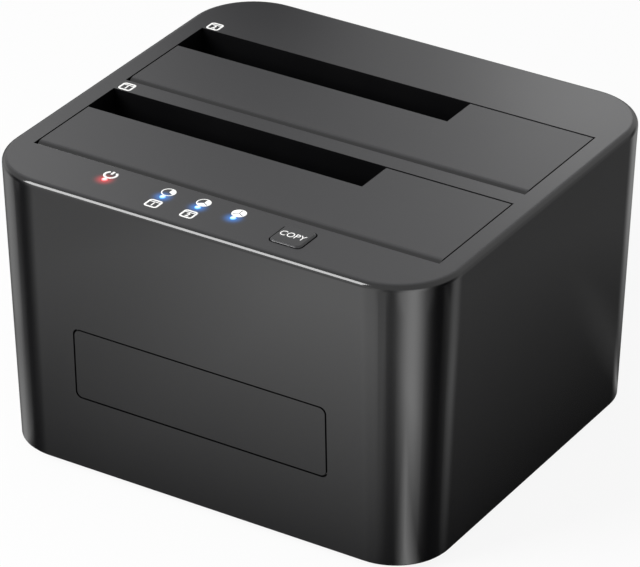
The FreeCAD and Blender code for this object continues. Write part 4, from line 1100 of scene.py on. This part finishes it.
class DUPLICATOR_OT_stage(bpy.types.Operator):
    """Sets up the floor, the soft lamps and the camera"""
    bl_idname = "duplicator.stage"
    bl_label = "Studio"

    def execute(self, context):
        scene = context.scene
        studio = scene.duplicator_studio
        self.camera(scene, studio)
        self.floor(scene)
        self.surround(scene)
        self.card()
        self.lamps(studio)
        scene.view_settings.view_transform = "Standard"
        return {"FINISHED"}

    def camera(self, scene, studio):
        back = way(studio.azimuth, studio.elevation)
        side = Vector((0, 0, 1)).cross(back).normalized()
        above = back.cross(side)
        turned_side = side * math.cos(studio.roll) + above * math.sin(studio.roll)
        turned_above = above * math.cos(studio.roll) - side * math.sin(studio.roll)
        low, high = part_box("housing_shell")
        aim = Vector((0, 0, (low.z + high.z) / 2))
        aim += turned_side * studio.aim_side + turned_above * studio.aim_up
        data = bpy.data.cameras.new("camera")
        data.lens = studio.focal
        data.sensor_width = 36.0
        data.clip_end = 20.0
        turn = Matrix((turned_side, turned_above, back)).transposed().to_4x4()
        scene.camera = held("camera", data)
        scene.camera.matrix_world = Matrix.Translation(aim + back * studio.distance) @ turn

    def floor(self, scene):
        """A pale sweep: white to the camera with a faint shadow; gloss sees the studio through it.

        Close to the product, gloss sees a dark shade instead.
        """
        half = FLOOR_HALF
        mesh = bpy.data.meshes.new("floor")
        mesh.from_pydata([(-half, -half, 0), (half, -half, 0), (half, half, 0), (-half, half, 0)], [],
                         [(0, 1, 2, 3)])
        tree, place = surface("Paper sweep")
        shade(tree, {"Base Color": rgba(scene.duplicator_colours.floor), "Roughness": 0.9,
                     "Specular IOR Level": 0.0})
        ray = add_node(tree, "ShaderNodeLightPath").outputs
        white = add_node(tree, "ShaderNodeEmission", inputs={"Color": (1, 1, 1, 1), "Strength": 1.0})
        paper = either(tree, worked(tree, "MULTIPLY", ray["Is Camera Ray"], FLOOR_WHITE),
                       tree.nodes["Principled BSDF"].outputs["BSDF"], white.outputs["Emission"])
        dark = add_node(tree, "ShaderNodeBsdfDiffuse", inputs={"Color": (0.02, 0.02, 0.02, 1)})
        clear = add_node(tree, "ShaderNodeBsdfTransparent")
        gloss = either(tree, self.openness(tree, place), dark.outputs["BSDF"], clear.outputs["BSDF"])
        by_gloss = worked(tree, "MAXIMUM", ray["Is Glossy Ray"], ray["Is Transmission Ray"])
        plug(tree, tree.nodes["Material Output"], {"Surface": either(tree, by_gloss, paper, gloss)})
        mesh.materials.append(MATERIALS["Paper sweep"])
        held("floor", mesh)

    def openness(self, tree, place):
        """How much of the studio gloss sees at a place on the floor: most away from the product
        and in the wedges off its corners, less on the left.
        """
        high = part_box("housing_shell")[1]
        away = vectors(tree, "MULTIPLY", self.beyond(tree, place, high, 0.0), (STRETCH, 1.0, 0.0))
        open_away = ramp(tree, vectors(tree, "LENGTH", away), *OPEN_AWAY)
        corner = parted(tree, self.beyond(tree, place, high, OPEN_CORNER))
        across = parted(tree, place)["X"]
        far = worked(tree, "ADD", corner["Y"], worked(tree, "LESS_THAN", across, 0.0))
        slant = worked(tree, "DIVIDE", worked(tree, "MINIMUM", corner["X"], far),
                       worked(tree, "MAXIMUM", corner["X"], corner["Y"]))
        open_corner = ramp(tree, slant, *OPEN_SLANT, kind="SMOOTHSTEP")
        return worked(tree, "MULTIPLY", worked(tree, "MAXIMUM", open_away, open_corner),
                      ramp(tree, across, *DIMMER_LEFT))

    def beyond(self, tree, place, high, inset):
        """How far a place lies outside the housing's outline less an inset, along X and along Y."""
        past = vectors(tree, "SUBTRACT", vectors(tree, "ABSOLUTE", place),
                       (high.x - inset, high.y - inset, 0.0))
        return vectors(tree, "MAXIMUM", past, (0.0, 0.0, 0.0))

    def card(self):
        """A light card above the rear left of the deck, seen in the deck's gloss and nowhere else."""
        around, up, away = CARD_WAY
        out = way(math.radians(around), math.radians(up))
        side = Vector((0, 0, 1)).cross(out).normalized() * -1
        above = out.cross(side)
        if above.z < 0:
            above.negate()
        middle = Vector((0, 0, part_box("housing_shell")[1].z)) + out * away
        mesh = bpy.data.meshes.new("light card")
        mesh.from_pydata([middle + side * x + above * y for x, y in CARD_OUTLINE], [], [(0, 1, 2, 3)])
        material = bpy.data.materials.new("Light card")
        material.use_nodes = True
        tree = material.node_tree
        tree.nodes.clear()
        place = add_node(tree, "ShaderNodeTexCoord").outputs["Object"]
        total = CARD_LEVEL
        for across, rise, radius, level in CARD_SPOTS:
            spot = middle + side * across * MM + above * rise * MM
            near = ramp(tree, vectors(tree, "DISTANCE", place, spot), 0.0, radius * MM, 1.0, 0.0,
                        "SMOOTHERSTEP")
            total = worked(tree, "MULTIPLY_ADD", near, level, total)
        glow = add_node(tree, "ShaderNodeEmission", inputs={"Color": (1, 1, 1, 1), "Strength": total})
        add_node(tree, "ShaderNodeOutputMaterial", inputs={"Surface": glow.outputs["Emission"]})
        mesh.materials.append(material)
        card = held("light card", mesh)
        card.visible_camera = card.visible_diffuse = card.visible_shadow = card.visible_transmission = False

    def lamps(self, studio):
        for name, around, up, away, width, height, power in LAMPS:
            out = way(math.radians(around), math.radians(up))
            data = bpy.data.lights.new(name, "AREA")
            data.shape = "RECTANGLE"
            data.size = width
            data.size_y = height
            data.energy = power * studio.lamp_level
            turn = out.to_track_quat("Z", "Y").to_matrix().to_4x4()
            held(name, data).matrix_world = Matrix.Translation(out * away + LAMP_AIM) @ turn

    def surround(self, scene):
        """The studio round the product: white to the camera, tall soft boxes in reflections."""
        world = bpy.data.worlds.new("studio")
        world.use_nodes = True
        tree = world.node_tree
        view = parted(tree, add_node(tree, "ShaderNodeTexCoord").outputs["Generated"])
        level_way = vectors(tree, "NORMALIZE", combined(tree, X=view["X"], Y=view["Y"]))
        total = BETWEEN_BOXES
        for around, half_width, level in SOFT_BOXES:
            facing = vectors(tree, "DOT_PRODUCT", level_way, way(math.radians(around), 0.0))
            sharpness = 1 / math.radians(half_width) ** 2
            fall = worked(tree, "MULTIPLY_ADD", facing, sharpness, -sharpness)
            total = worked(tree, "MULTIPLY_ADD", worked(tree, "EXPONENT", fall), level, total)
        high = ramp(tree, view["Z"], *CEILING_TURN, kind="SMOOTHSTEP")
        ray = add_node(tree, "ShaderNodeLightPath").outputs
        soft = between(tree, ray["Is Diffuse Ray"], between(tree, high, total, CEILING), FILL)
        plug(tree, tree.nodes["Background"], {
            "Color": (1, 1, 1, 1), "Strength": between(tree, ray["Is Camera Ray"], soft, 1.0)})
        world.cycles.sampling_method = "NONE"
        scene.world = world


STEPS = ("housing", "flaps", "button", "lights", "prints", "wells", "base", "sockets", "boards", "stage")


class DUPLICATOR_PT_panel(bpy.types.Panel):
    """Lists the duplicator's pieces and its settings"""
    bl_idname = "DUPLICATOR_PT_panel"
    bl_label = "Duplicator"
    bl_space_type = "VIEW_3D"
    bl_region_type = "UI"
    bl_category = "Duplicator"

    def draw(self, context):
        for step in STEPS:
            self.layout.operator("duplicator." + step)
        for group in (context.scene.duplicator_sizes, context.scene.duplicator_colours,
                      context.scene.duplicator_studio):
            for name in group.bl_rna.properties.keys():
                if name not in ("rna_type", "name"):
                    self.layout.prop(group, name)


CLASSES = (DuplicatorSizes, DuplicatorColours, DuplicatorStudio, DUPLICATOR_OT_housing, DUPLICATOR_OT_flaps,
           DUPLICATOR_OT_button, DUPLICATOR_OT_lights, DUPLICATOR_OT_prints, DUPLICATOR_OT_wells,
           DUPLICATOR_OT_base, DUPLICATOR_OT_sockets, DUPLICATOR_OT_boards, DUPLICATOR_OT_stage,
           DUPLICATOR_PT_panel)


def register():
    for cls in CLASSES:
        bpy.utils.register_class(cls)
    bpy.types.Scene.duplicator_sizes = bpy.props.PointerProperty(type=DuplicatorSizes)
    bpy.types.Scene.duplicator_colours = bpy.props.PointerProperty(type=DuplicatorColours)
    bpy.types.Scene.duplicator_studio = bpy.props.PointerProperty(type=DuplicatorStudio)


def unregister():
    del bpy.types.Scene.duplicator_studio
    del bpy.types.Scene.duplicator_colours
    del bpy.types.Scene.duplicator_sizes
    for cls in reversed(CLASSES):
        bpy.utils.unregister_class(cls)


def main():
    register()
    make_materials(bpy.context.scene.duplicator_colours)
    for step in STEPS:
        getattr(bpy.ops.duplicator, step)()


if __name__ == "__main__":
    main()
